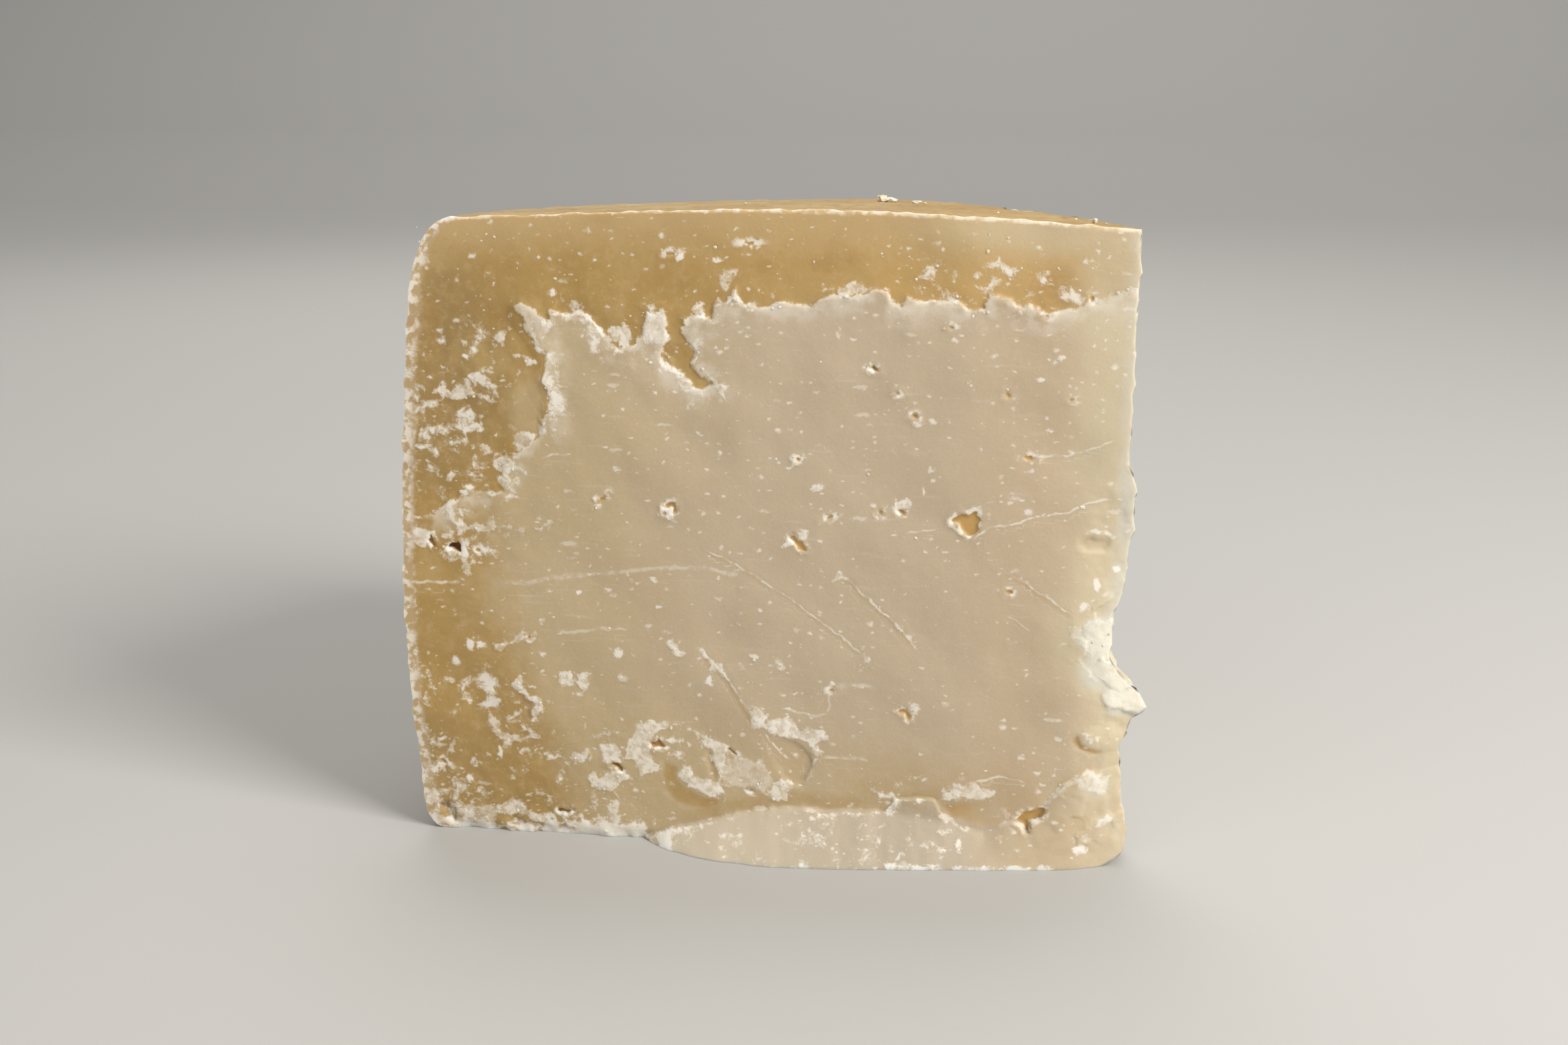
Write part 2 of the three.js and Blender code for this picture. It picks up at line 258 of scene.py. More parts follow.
# Larger eyes: tone from golden to brown (the brown is painted shade deep in the hole), depth, outline
eyeShapes = [
    (0.25, 0.34, [(-28.4, 54.5), (-28, 55), (-27.3, 55.4), (-26.5, 55.7), (-25.9, 55.4), (-25.2, 55.9),
        (-24.6, 56.1), (-24.1, 56), (-24.4, 55.4), (-24, 55.2), (-23.7, 54.7), (-24.2, 54.2), (-24.1, 53.4),
        (-24.2, 53), (-24.7, 52.5), (-25.3, 52.2), (-25.9, 52.2), (-26.5, 52.7), (-26.8, 53.3), (-27.1, 54),
        (-27.6, 54.2), (-28.2, 53.9)]),
    (0.2, 0.32, [(-72.1, 55.2), (-71.8, 55.6), (-71.2, 55.9), (-70.2, 55.9), (-70, 55.2), (-69.9, 54.5),
        (-70.2, 54.1), (-70.6, 54.2), (-70.4, 55), (-70.8, 55.2), (-71.2, 54.9), (-71.8, 55)]),
    (0.3, 0.3, [(-72.4, 54.2), (-71.7, 54.4), (-71.3, 54), (-71.5, 53.8), (-72.2, 53.8)]),
    (0.2, 0.3, [(-52.8, 51.1), (-52.3, 51.4), (-51.7, 51.5), (-51.5, 51.1), (-51.3, 50.7), (-50.6, 50.5),
        (-50.3, 50.1), (-50, 49.5), (-49.9, 49.1), (-50.4, 48.9), (-51.2, 49.3), (-51.6, 49.9), (-52, 50.5),
        (-52.5, 50.7)]),
    (0.35, 0.22, [(-17.1, 7.1), (-16.5, 7.7), (-16.1, 8.4), (-15.3, 8.7), (-14.5, 8.9), (-13.8, 9.2),
        (-12.9, 9.4), (-12.5, 9), (-13, 8.2), (-13.6, 7.6), (-14.6, 7.2), (-15.2, 7), (-15.2, 6.2),
        (-15.2, 5.5), (-15.6, 5.4), (-15.9, 6.2), (-16.4, 6.7)]),
    (0.5, 0.4, [(-74.8, 16.5), (-74.4, 16.9), (-73.9, 16.7), (-73.5, 17.3), (-73.2, 17.2), (-72.6, 16.5),
        (-72.4, 16), (-72.8, 15.8), (-73.4, 15.9), (-74, 15.7), (-74.5, 15.8)]),
    (0.5, 0.6, [(-109.2, 49.4), (-108.9, 49.2), (-108.6, 48.4), (-108.2, 47.6), (-108.6, 47.4),
        (-109.1, 47.9), (-109.8, 48.4), (-109.4, 48.7)]),
    (0.95, 1.1, [(-106.7, 47.3), (-106.2, 47.9), (-105.6, 48.2), (-105, 48), (-104.7, 48.4), (-104.3, 47.9),
        (-104.4, 47.2), (-104.3, 46.6), (-105.1, 46.8), (-105.8, 47.1)]),
    (0.65, 0.6, [(-81.4, 12.5), (-80.8, 12.9), (-80, 12.9), (-79.5, 12.5), (-79.2, 12), (-79.3, 11.4),
        (-79.8, 11.7), (-80.3, 12.3), (-80.9, 12.4)]),
    (0.6, 0.5, [(-62.3, 16.3), (-61.9, 16.4), (-61.5, 15.9), (-61, 15.4), (-61.3, 15.2), (-61.8, 15.7)]),
    (0.65, 0.6, [(-90.2, 4.2), (-89.8, 4.6), (-89, 4.4), (-88.4, 4.3), (-87.4, 4.6), (-87.2, 4.2), (-88, 4),
        (-88.6, 3.5), (-89.2, 3.9), (-89.8, 3.8)]),
    (0.2, 0.4, [(-36.6, 56.1), (-36, 56.1), (-35.4, 56), (-35.1, 55.6), (-35.3, 55.1), (-35.9, 55),
        (-36.2, 55.5)]),
    (0.1, 0.32, [(-35.8, 24.2), (-35, 24.5), (-34.2, 24), (-33.7, 23.4), (-33.8, 22.7), (-34.3, 22.5),
        (-34.6, 23), (-34.8, 23.6), (-35.3, 23.6), (-35.8, 23.8)]),
    (0.4, 0.45, [(-41.2, 77.1), (-40.9, 77.5), (-40.4, 77.6), (-40, 77.6), (-39.5, 77.1), (-39.5, 76.6),
        (-40, 76.6), (-40.4, 76.9)]),
]
# Small eyes: x, z, half width, half height, tilt in degrees, depth
eyes = [
    (-34.0, 70.1, 0.5, 0.4, 0, 0.4), (-38.9, 55.3, 0.35, 0.45, 0, 0.35), (-46.6, 54.4, 0.6, 0.28, 25, 0.4),
    (-51.4, 63.2, 0.45, 0.35, 0, 0.3), (-17.2, 64.4, 0.8, 0.45, -5, 0.4),
    (-11.3, 73.3, 0.35, 0.25, 0, 0.25), (-20.5, 73.6, 0.35, 0.45, 0, 0.3), (-29.0, 83.4, 0.4, 0.3, 0, 0.3),
    (-9.0, 87.8, 0.35, 0.5, 0, 0.4), (-15.3, 85.3, 0.4, 0.3, 0, 0.3), (-81.6, 56.0, 0.8, 0.35, 45, 0.4),
    (-19.4, 43.8, 0.5, 0.4, 0, 0.35), (-101.5, 47.2, 0.4, 0.4, 0, 0.4), (-108.8, 11.6, 0.7, 0.35, -35, 0.5),
    (-58.7, 9.4, 0.5, 0.25, 0, 0.35), (-46.1, 26.8, 0.5, 0.25, 0, 0.3), (-70.2, 93.4, 0.6, 0.25, 0, 0.3),
    (-58.6, 95.1, 0.7, 0.25, 0, 0.3), (-93.8, 33.3, 0.4, 0.3, 0, 0.3), (-36.5, 73.6, 0.4, 0.3, 0, 0.25),
]
# Scars: path with its higher side on the left, half width of the white line, step (which also sets the
# painted shade on the lower side), whiteness
scars = [
    ([(-66, 49), (-63.5, 47.7), (-61.8, 46.9), (-59.8, 45.7), (-56.5, 43.9), (-52.8, 41.7), (-50.6, 40),
        (-46.7, 37.2), (-42.8, 34.1), (-41.2, 32.6)], 0.2, 0.2, 0.6),
    ([(-45.2, 45.4), (-43, 44.1), (-41.9, 42.8), (-40, 41.4), (-38.3, 39.8), (-36.2, 37.8), (-34.9, 36.3),
        (-33.4, 34.6)], 0.24, 0.26, 0.8),
    ([(-66.4, 32.6), (-65.4, 31), (-64, 29.8), (-62.9, 28.6), (-61.2, 26.2), (-59.8, 24.2), (-58.6, 22.2),
        (-58.1, 20.6)], 0.24, 0.32, 0.8),
    ([(-19.9, 46.8), (-18.7, 46.1), (-16.8, 45.3), (-14.7, 43.8), (-12.9, 42.8), (-11, 41.3), (-9.8, 40.7)],
        0.2, 0.24, 0.75),
    ([(-19.6, 40.1), (-17.5, 38.9), (-15.9, 37.9)], 0.15, 0.06, 0.4),
    ([(-35, 52.4), (-29.7, 53.4)], 0.2, 0.04, 0.5),
    ([(-24.8, 51.8), (-23.5, 53), (-22.4, 53.9), (-19.9, 54.1), (-14.7, 55.6), (-11.3, 56.3), (-9.5, 57.3),
        (-6.7, 58.3), (-4.6, 58.2)], 0.2, 0.05, 0.7),
    ([(-16.5, 64.6), (-11.5, 65), (-9, 65.9), (-4, 67.6)], 0.2, 0.05, 0.6),
    ([(-98.8, 42.3), (-94, 42), (-90, 43), (-86, 43.6), (-80, 44.4), (-75, 45), (-70, 45.6), (-65.4, 45.6),
        (-62, 44.8), (-60.1, 44.9)], 0.4, 0.03, 0.36),
    ([(-113, 41.6), (-109, 41.8), (-105, 41.6)], 0.3, 0.04, 0.6),
    ([(-90.7, 62.2), (-88.7, 62.8), (-86.1, 62.8)], 0.25, 0.02, 0.6),
    ([(-89, 34.3), (-86, 34.6), (-82, 35.3), (-78, 35.4)], 0.3, 0.03, 0.4),
    ([(-46.3, 26.2), (-46.3, 24.4), (-47, 22.9), (-48.6, 22.5), (-53.5, 23.2)], 0.25, 0.1, 0.35),
    ([(-45.2, 27.6), (-42, 27.7), (-39.6, 27.5)], 0.45, 0.03, 0.45),
    ([(-56.1, 19), (-54.7, 17), (-53, 15)], 0.2, 0.05, 0.8),
    ([(-48.2, 15.6), (-48.9, 14.3), (-49.1, 12.6), (-49.9, 11.2)], 0.3, 0, 0.6),
    ([(-47.8, 15.6), (-44, 15.8), (-40, 15.5)], 0.3, 0.03, 0.45),
    ([(-25, 12.5), (-22.4, 13.2), (-19.9, 14), (-17.8, 13.8), (-15.6, 13.4)], 0.2, 0.05, 0.65),
    ([(-4.2, 15.6), (-5.5, 15.1), (-6.6, 15.6), (-7.4, 15), (-8.4, 14), (-10, 13.4), (-10.6, 12.4),
        (-12, 11), (-12.6, 9.6)], 0.5, 0.45, 0.7),
    ([(-15.8, 5.6), (-16.4, 6.4), (-17.6, 6.7), (-19, 6.2), (-20, 5.4)], 0.4, 0.15, 0.5),
    ([(-8.2, 53.5), (-7, 53.8), (-5.5, 53.3), (-4, 52.5)], 0.35, 0.12, 0.9),
]
# White torn patches, on the tip also painted highlights: whiteness, outline
films = [
    (0.8, [(-77.1, 19.9), (-75, 20.6), (-72.4, 20.3), (-69.2, 20.2), (-70.5, 19.7), (-72.4, 19.3),
        (-74.4, 18.2), (-74.8, 15.7), (-75.2, 14.8), (-73.4, 13.4), (-72.6, 12.6), (-74.1, 11.2),
        (-76.6, 10.6), (-76.5, 11.8), (-77.3, 13.2), (-78.9, 14.1), (-78, 16), (-77.9, 17.1)]),
    (0.85, [(-69.2, 19.5), (-68, 19.3), (-66.8, 18.5), (-63.2, 17.6), (-62.1, 16.8), (-62.6, 14.8),
        (-63.4, 12), (-63.6, 10), (-64, 10.6), (-64.3, 12.6), (-65, 15.7), (-66.3, 16.4), (-66.8, 17.4),
        (-68, 18.5)]),
    (0.9, [(-69.9, 10.6), (-70.1, 12), (-69.4, 12.9), (-68.2, 12.6), (-67.7, 11.8), (-64, 10.6),
        (-63.2, 9.8), (-62.6, 8.7), (-62.6, 7.3), (-63.2, 6.7), (-63.1, 8.1), (-66.8, 8.7), (-68.9, 9.5),
        (-68.8, 10.4)]),
    (0.45, [(-62.6, 14.8), (-60.4, 15), (-56.8, 14.7), (-55.6, 12.6), (-54.8, 10.9), (-56.3, 9.5),
        (-60.4, 10.1), (-63.2, 9.8), (-63.4, 12)]),
    (0.85, [(-54.8, 10.9), (-54.2, 11.5), (-53.1, 11.3), (-52, 10.6), (-53.1, 9.2), (-52.8, 8.1),
        (-55.1, 7.8), (-56.3, 9.5)]),
    (0.95, [(-59.1, 23.9), (-58.2, 23.4), (-57.2, 23.7), (-56.2, 23), (-55.9, 21.8), (-56.8, 21),
        (-55.1, 21.3), (-53.3, 22.1), (-52, 21.3), (-51.2, 20.4), (-49.8, 19.9), (-47.8, 19.9),
        (-46.8, 18.9), (-48.4, 18.2), (-47.5, 16.4), (-48.1, 15.7), (-48.9, 16.8), (-49.8, 17.5),
        (-51.2, 18.2), (-53.1, 18.8), (-55.1, 19), (-56.8, 19.6), (-57.9, 20.2), (-58.3, 21.3),
        (-58.4, 22.4)]),
    (1.0, [(-66.5, 32.7), (-66, 31.5), (-64.7, 30.5), (-63.5, 30), (-62.8, 29.1), (-62.5, 28),
        (-63.1, 27.8), (-63.7, 29), (-64.7, 29.4), (-65.7, 30.7), (-66.6, 31.4)]),
    (1.0, [(-71.9, 33.7), (-71, 34), (-70.5, 33.3), (-69.9, 32.9), (-69.8, 32.3), (-69.2, 31.4),
        (-70.3, 31.1), (-70.9, 31.6), (-71.2, 32.9)]),
    (1.0, [(-41.6, 32.4), (-41.2, 32.8), (-40.4, 31.3), (-40.7, 30.6), (-41.2, 31.4)]),
    (1.0, [(-36.3, 37.9), (-35.3, 37.8), (-35.1, 36.4), (-34, 35.5), (-33.3, 34.5), (-34.6, 35.8),
        (-35.7, 36.7)]),
    (1.0, [(-46.3, 44.1), (-46, 45), (-45.4, 46), (-45, 45.4), (-45.6, 44.8)]),
    (1.0, [(-28.8, 53.6), (-27.6, 53.4), (-27, 53.6), (-26.2, 52.6), (-26, 51.9), (-27, 52),
        (-27.6, 52.8)]),
    (0.8, [(-27, 56.1), (-25.4, 56.8), (-24.4, 56.4), (-24.8, 56), (-25.7, 55.5)]),
    (0.95, [(-73.1, 54.3), (-72.6, 55.4), (-71.9, 55.4), (-71.6, 54.7), (-71, 54.3), (-70.3, 54),
        (-70.2, 52.9), (-71.3, 52.7), (-72.6, 53.6)]),
    (0.95, [(-54.1, 49.9), (-53.4, 50.6), (-52.3, 50.4), (-51.7, 49.9), (-53.5, 49.7)]),
    (0.8, [(-51.6, 51.8), (-50.9, 52.6), (-49.5, 52.3), (-49.8, 50.9), (-50.6, 50.7)]),
    (0.95, [(-51.7, 49.1), (-50.7, 48.8), (-50.7, 48.2), (-51.5, 48.5)]),
    (0.9, [(-36.8, 56.2), (-36.3, 57.3), (-34.6, 57.6), (-33.4, 57.2), (-34.4, 56.4), (-35.8, 56.1)]),
    (0.9, [(-83.4, 56.2), (-82.6, 56.9), (-81.2, 56.8), (-81.7, 55.7), (-82.6, 55.4)]),
    (0.95, [(-41.2, 77.2), (-41, 78.2), (-40.2, 77.8), (-40.4, 76.6), (-39.4, 76.2), (-40.6, 76)]),
    (0.8, [(-34.4, 69.2), (-33.4, 69.6), (-32.5, 68.9), (-33, 68.2), (-34, 68.4)]),
    (0.85, [(-49.3, 58.3), (-48.6, 59.3), (-47.5, 59.5), (-47.6, 58.7), (-48.4, 58.1)]),
    (0.75, [(-52.6, 63.2), (-51.6, 63.7), (-50.7, 63.5), (-50.9, 62.6), (-52, 61.8), (-53.2, 61.3),
        (-52.4, 62.2)]),
    (0.85, [(-28.5, 9.8), (-28, 11.4), (-27, 12), (-25, 12.5), (-23.3, 12.6), (-22.8, 11.7), (-20.8, 11.4),
        (-20.8, 10.5), (-22.4, 10), (-24.8, 9.7), (-27.6, 9.4)]),
    (1.0, [(-39.3, 10.4), (-38.6, 10.9), (-37.6, 10.2), (-36.4, 10.2), (-35.9, 9.2), (-37.4, 9),
        (-38.6, 9)]),
    (0.5, [(-19.3, 9), (-18.6, 9.2), (-18, 7.9), (-17.4, 7.6), (-18.2, 7), (-18.9, 7.6)]),
    (0.8, [(-28.8, 6.9), (-28.3, 7.6), (-26.5, 6.4), (-24.6, 5.2), (-25.4, 5), (-27.3, 5.6)]),
    (1.0, [(-8.7, 3.1), (-7.6, 3.8), (-6.2, 3.4), (-6.4, 2.4), (-7.8, 2)]),
    # on the broken tip: whiter paste, brightened with painted highlights where its faces catch the light
    (0.8, [(-7.3, 20.9), (-7.3, 21.8), (-5.9, 21.6), (-5.3, 20.8), (-6.4, 20.6)]),
    (0.5, [(-8.1, 39.3), (-6, 39.7), (-3.6, 39.8), (2, 39.7), (2, 33.6), (-4.6, 33.7), (-6.8, 33.9),
        (-8.4, 35.2), (-9, 36), (-7.8, 37.2)]),
    (0.45, [(-10.4, 38.4), (-8.6, 39.1), (-8, 37.4), (-9, 36.6), (-10.2, 37.2)]),
    (0.25, [(-7.4, 34.4), (-4.4, 34), (-3, 33), (2, 31.6), (2, 30), (-2.6, 30.2), (-4.6, 29.2),
        (-6.2, 30.4), (-7.2, 32.2)]),
    (0.45, [(-4.7, 27.5), (-3.6, 28.6), (-3.2, 30.4), (-1.4, 30.6), (4, 29), (4, 24), (-0.6, 24.8),
        (-2, 25.4), (-3.7, 26)]),
    # painted highlight: a light streak on the corner block
    (0.75, [(-6, 6.2), (-5, 7.4), (-3.4, 8), (-2.2, 7.9), (-3, 6.9), (-4.6, 5.9)]),
    (0.5, [(-7, 4.6), (-6, 5.2), (-5, 4.8), (-5.8, 4.2)]),
    (0.6, [(-8.6, 13.8), (-7.2, 15), (-5.6, 15.2), (-3.4, 15), (-3, 12.6), (-4.6, 12), (-6, 12.8),
        (-7.4, 13)]),
    (0.95, [(-96.7, 25.3), (-96.1, 27), (-95.4, 26.9), (-95.4, 25.3), (-93.8, 23.8), (-92.6, 23.2),
        (-91.8, 21.3), (-93.2, 19.6), (-93.6, 18.9), (-94.2, 19), (-93.9, 21.3), (-93.6, 22.1), (-94.3, 23),
        (-96.4, 24.4)]),
    (0.85, [(-89.3, 26.6), (-89, 27.6), (-87.6, 27.9), (-86.8, 26.9), (-86.2, 27.7), (-82.6, 28),
        (-84.5, 26.9), (-84.5, 25.8), (-85.4, 24.2), (-86.6, 25.8), (-87.3, 25.5), (-88.7, 24.9)]),
    (0.75, [(-80.7, 26.9), (-79.2, 27.9), (-77.5, 27.2), (-78.4, 26.7)]),
    (0.6, [(-99.9, 16.8), (-100.8, 19.3), (-99.5, 19.3), (-99.1, 17.1), (-97.7, 16.8), (-96.3, 17.1),
        (-95, 16.2), (-95.2, 15.5), (-96.8, 15.7), (-99.1, 15.7)]),
    (0.75, [(-100.2, 4.2), (-98.8, 5.3), (-97.4, 5.7), (-96, 5.2), (-94.6, 3.9), (-92.9, 3.4), (-91.8, 2.5),
        (-90.1, 1.7), (-92.4, 1.3), (-94.6, 2.2), (-96.3, 3.1), (-97.7, 2.8), (-99.6, 3.1)]),
    (0.5, [(-107.8, 2), (-106.1, 4.2), (-104.7, 4.8), (-101.3, 4.3), (-100.5, 3.4), (-100.5, -1),
        (-105.8, -1)]),
    (0.85, [(-90.1, 3.4), (-89, 2.8), (-85.6, 2.2), (-84, 0.6), (-85.1, -1), (-87, 0.2), (-88.2, 1.1),
        (-89, 2)]),
    (0.7, [(-84.2, 0.8), (-82.8, 2), (-81.4, 1.7), (-82, 5.3), (-80.6, 6.7), (-80, 6.4), (-80, 2.5),
        (-82, -1)]),
    (0.8, [(-85.6, 9.8), (-84, 11.2), (-83.1, 10.4), (-82.6, 11.5), (-81.4, 11.8), (-80.6, 11.2),
        (-80.3, 9.8), (-80.6, 7.3), (-81.4, 8.1), (-83.4, 8.5), (-84.5, 8.5)]),
    (0.8, [(-88.3, 13.4), (-87.6, 14.3), (-86.5, 14), (-85.4, 14.8), (-84.5, 14.8), (-84.5, 13.2),
        (-87, 11.9)]),
    (0.85, [(-82.7, 15.7), (-82, 16.1), (-80.3, 16), (-79.6, 15.4), (-79.5, 13.2), (-80.9, 12.9),
        (-82.6, 13), (-82.8, 14.3)]),
    (0.85, [(-81.6, 11.5), (-80.6, 12), (-79.2, 11.5), (-78.1, 11.2), (-77.8, 10.4), (-79.5, 10.1),
        (-81.2, 10.6)]),
    (0.7, [(-99.4, 30.7), (-99.1, 31.9), (-98.4, 31.9), (-96.3, 32.9), (-94.9, 33.9), (-94.6, 32.8),
        (-96.3, 32.2), (-98.5, 30.8)]),
    (0.6, [(-112.8, 26), (-112, 27.3), (-110.3, 28.3), (-110.1, 27.9), (-111.7, 26.9), (-112.2, 25.8)]),
    (0.55, [(-108.6, 12.6), (-107.2, 15.4), (-105.8, 17.1), (-105.2, 16.5), (-107.2, 14), (-108, 12.6)]),
    (0.85, [(-98.7, 61.3), (-97.7, 62.1), (-96.1, 62.3), (-95.4, 61.3), (-93.8, 59.9), (-94, 59.3),
        (-95.2, 60.4), (-96.3, 59.3), (-96, 58.3), (-97.7, 59.3), (-98.5, 60.2)]),
    (0.8, [(-95.4, 65.6), (-94, 66), (-92.1, 65.8), (-91.8, 64.9), (-92.9, 63.8), (-96, 62.7),
        (-94.9, 64.1)]),
    (0.7, [(-100.8, 63.8), (-99.6, 63.8), (-97.7, 62.8), (-98.8, 62.1), (-99.9, 62.5)]),
    (0.85, [(-105.9, 58.1), (-105.8, 59), (-105.1, 59.6), (-104.4, 59), (-104.7, 58.3), (-105.5, 57.8)]),
    (0.8, [(-106.4, 53.2), (-106.2, 54), (-105, 55), (-104.8, 54.3), (-105.5, 53.4), (-104.7, 51.2),
        (-105.9, 51.5)]),
    (0.6, [(-105, 51.2), (-100.2, 51.3), (-99.5, 52.9), (-98.9, 52.9), (-98.8, 51.6), (-93.8, 51.2),
        (-93.8, 50.6), (-97.4, 50.9), (-101.3, 50.1), (-104.1, 50.1)]),
    (0.7, [(-93.2, 51.5), (-91.8, 50.9), (-90.4, 51.3), (-89.6, 52), (-90.1, 50.9), (-92.4, 50.5)]),
    (0.75, [(-113.6, 48.4), (-112.8, 49.8), (-108.6, 50.1), (-107.8, 49.2), (-107.2, 50.1), (-105.2, 50.1),
        (-105, 48.7), (-106.6, 49), (-107.3, 48.4), (-108.3, 49), (-109.4, 48.7), (-110, 47.3),
        (-113.4, 47.1)]),
    (0.6, [(-104.1, 48.4), (-103.3, 46.7), (-103.3, 44.8), (-102.4, 43.9), (-103.1, 42), (-104.4, 44.2),
        (-104.1, 46.2)]),
    (0.8, [(-97.7, 80.7), (-96.8, 81.3), (-95.7, 81.3), (-95.9, 79.9), (-96.6, 78.8), (-97.1, 79.6)]),
    (0.85, [(-94.6, 77.6), (-92.1, 77.8), (-91.2, 77.4), (-90.7, 76.4), (-92.1, 76.5), (-93.2, 77.1)]),
    (0.8, [(-104.7, 72.3), (-103.8, 73.4), (-101.9, 73.7), (-101, 72.9), (-101.3, 72.3), (-98.5, 71.2),
        (-97.7, 70.4), (-100.5, 71.2), (-102.4, 71.2), (-104.7, 70.9), (-107.8, 71.8), (-106.4, 72.6)]),
    (0.8, [(-101.9, 74.3), (-100.8, 75), (-98, 74), (-98.8, 72.9), (-99.9, 73.2)]),
    (0.8, [(-86.9, 86.3), (-85.9, 85.9), (-85.1, 86.5), (-83.7, 85.8), (-83.1, 85.2), (-85.4, 85.1)]),
    (0.9, [(-80.3, 81.8), (-79.2, 82.4), (-77.8, 82.7), (-76.7, 82.4), (-76.1, 81.3), (-76.4, 80.2),
        (-77.8, 79.6), (-79.2, 79.9)]),
    (0.6, [(-73.6, 84.6), (-70.8, 84.6), (-71, 82.4), (-70.5, 81), (-72.2, 79.9), (-74.4, 80.4),
        (-74.7, 82.4)]),
    (0.9, [(-67.1, 85.2), (-66.3, 86.6), (-65.7, 86.5), (-65.3, 84.1), (-66.3, 84.1)]),
    (0.75, [(-62.9, 90), (-62.1, 91.1), (-60.4, 91.4), (-59.8, 90.8), (-61.8, 89.4), (-62.1, 88),
        (-63.1, 89.1)]),
    (0.95, [(-71.6, 77.6), (-70.8, 77.4), (-69.9, 76.2), (-69.1, 75.1), (-70.8, 76.3)]),
    (0.7, [(-67.5, 73.2), (-66.6, 74), (-65.4, 73.4), (-65.4, 72.3), (-66.6, 72.2)]),
    (0.8, [(-64.3, 74.3), (-62.6, 74.4), (-61.8, 73.7), (-62.6, 73.2), (-62.6, 71.8), (-63.2, 72.3),
        (-63.2, 73.4)]),
    (0.6, [(-46.3, 82.7), (-45.7, 83.8), (-45.3, 82.7), (-45.6, 81.6), (-46.1, 81.8)]),
    (0.7, [(-48, 88.6), (-44.8, 88.8), (-42.4, 89.6), (-40.8, 89.6), (-39.6, 88.6), (-41.6, 88.4),
        (-44.6, 87.6)]),
]
